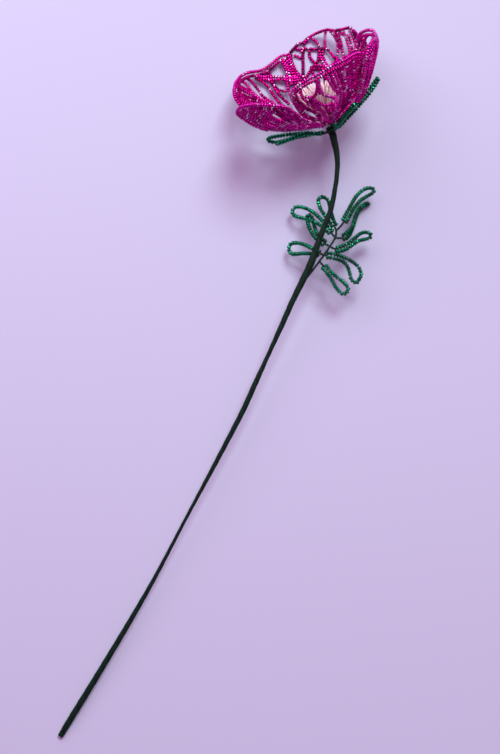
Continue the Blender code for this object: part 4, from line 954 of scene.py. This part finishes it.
def tape_material():
    """Waxed crepe: fine wrinkles and blotches, darker along each turn's edge."""
    material, nodes, links, shader = make_material("wound crepe tape", {
        "Roughness": 0.5, "Specular IOR Level": 0.15})
    mix = nodes.new("ShaderNodeMix")
    mix.data_type = "RGBA"
    mix.blend_type = "MULTIPLY"
    mix.inputs["Factor"].default_value = BLOTCHES
    links.new(add_ramp(nodes, links, layer_value(nodes, "tone"), TAPE_TONES), mix.inputs["A"])
    links.new(add_noise(nodes, scale=160).outputs["Color"], mix.inputs["B"])
    links.new(mix.outputs["Result"], shader.inputs["Base Color"])
    add_bumps(nodes, links, shader, add_noise(nodes, scale=2200, detail=4), strength=0.6)
    return material


def wire_material(name, colour, roughness):
    """Wire with a thin coat of colour, a little patchy."""
    material, nodes, links, shader = make_material(name, {"Roughness": roughness, "Metallic": 0.85})
    stops = list(zip(WIRE_PATCHES, (tuple(c * WIRE_SHADE for c in colour), colour)))
    patches = add_noise(nodes, scale=700).outputs["Fac"]
    links.new(add_ramp(nodes, links, patches, stops), shader.inputs["Base Color"])
    return material


def thread_material():
    """Matt thread, each one with its own tone."""
    material, nodes, links, shader = make_material("pale thread", {"Roughness": 0.65, "Sheen Weight": 0.3})
    links.new(add_ramp(nodes, links, layer_value(nodes, "tone"), THREAD_TONES), shader.inputs["Base Color"])
    return material


# Floor, light and camera

def build_floor():
    """The plain surface that the flower lies on."""
    corners = [(x * FLOOR_REACH, y * FLOOR_REACH, 0) for x, y in ((-1, -1), (1, -1), (1, 1), (-1, 1))]
    mesh = bpy.data.meshes.new("floor")
    mesh.from_pydata(corners, [], [(0, 1, 2, 3)])
    material, *_ = make_material("pale lilac cloth", {
        "Base Color": (*FLOOR_COLOUR, 1.0), "Roughness": 0.9, "Specular IOR Level": 0.1})
    mesh.materials.append(material)
    floor = bpy.data.objects.new("floor", mesh)
    bpy.context.scene.collection.objects.link(floor)


def add_light(name, heading_degrees, rise_degrees, distance, size, power, colour):
    """A square light that faces the target from the given heading and rise."""
    data = bpy.data.lights.new(name, "AREA")
    data.shape = "SQUARE"
    data.size = size
    data.energy = power
    data.color = colour
    light = bpy.data.objects.new(name, data)
    light.location = np.array(LIGHT_TARGET) + direction_of(heading_degrees, rise_degrees) * distance
    light.rotation_euler = (math.radians(90 - rise_degrees), 0, math.radians(heading_degrees + 90))
    bpy.context.scene.collection.objects.link(light)


def add_math(nodes, links, operation, source, *values):
    """An operation on a value, with the other numbers that it takes, and the output that gives it."""
    step = nodes.new("ShaderNodeMath")
    step.operation = operation
    links.new(source, step.inputs[0])
    for place, value in enumerate(values, 1):
        step.inputs[place].default_value = value
    return step.outputs["Value"]


def build_light():
    """A soft window light, a weak fill from the side, and a room that is bright towards the window only."""
    add_light("window", LIGHT_HEADING, LIGHT_RISE, LIGHT_DISTANCE, LIGHT_SIZE, LIGHT_POWER, LIGHT_COLOUR)
    add_light("fill", FILL_HEADING, FILL_RISE, FILL_DISTANCE, FILL_SIZE, FILL_POWER, FILL_COLOUR)
    world = bpy.data.worlds.new("room")
    world.use_nodes = True
    nodes = world.node_tree.nodes
    links = world.node_tree.links
    towards = nodes.new("ShaderNodeVectorMath")
    towards.operation = "DOT_PRODUCT"
    towards.inputs[1].default_value = tuple(direction_of(ROOM_HEADING, ROOM_RISE))
    links.new(nodes.new("ShaderNodeTexCoord").outputs["Generated"], towards.inputs[0])
    facing = add_math(nodes, links, "MAXIMUM", towards.outputs["Value"], 0.0)
    lobe = add_math(nodes, links, "POWER", facing, ROOM_SHARPNESS)
    strength = add_math(nodes, links, "MULTIPLY_ADD", lobe, ROOM_BRIGHT, ROOM_DARK)
    background = nodes["Background"]
    background.inputs["Color"].default_value = (*ROOM_COLOUR, 1.0)
    links.new(strength, background.inputs["Strength"])
    bpy.context.scene.world = world


def build_camera():
    """Straight above the drawing's own zero, with the picture turned."""
    data = bpy.data.cameras.new("camera")
    data.lens = LENS
    data.sensor_width = SENSOR
    camera = bpy.data.objects.new("camera", data)
    camera.location = (-ORIGIN[0] * MM, -ORIGIN[1] * MM, CAMERA_HEIGHT)
    camera.rotation_euler = (0, 0, math.radians(CAMERA_TURN))
    bpy.context.scene.collection.objects.link(camera)
    bpy.context.scene.camera = camera


magenta = glass_beads("magenta glass", MAGENTA_TONES, MAGENTA_END_SHADE, MAGENTA_SHEEN,
                      roughness=0.25, metallic=0.92, coat=0.08)
green = glass_beads("green glass", GREEN_TONES, GREEN_END_SHADE, GREEN_SHEEN,
                    roughness=0.17, metallic=0.95, coat=0.3)
pink_wire = wire_material("pink craft wire", PINK_WIRE, roughness=0.35)
green_wire = wire_material("green craft wire", GREEN_WIRE, roughness=0.4)

# The stem wire is shown as it is
stem_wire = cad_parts["stem_wire"]
stem_wire.data.materials.clear()
stem_wire.data.materials.append(wire_material("florist's wire", STEEL_WIRE, roughness=0.4))

for number, petal in enumerate(PETALS, 1):
    build_petal(number, petal, magenta, pink_wire)
build_calyx(green, green_wire)
build_leaf(green, green_wire)
build_tuft(thread_material())
build_stem(tape_material())
build_floor()
build_light()
build_camera()
bpy.context.scene.view_settings.view_transform = "Standard"
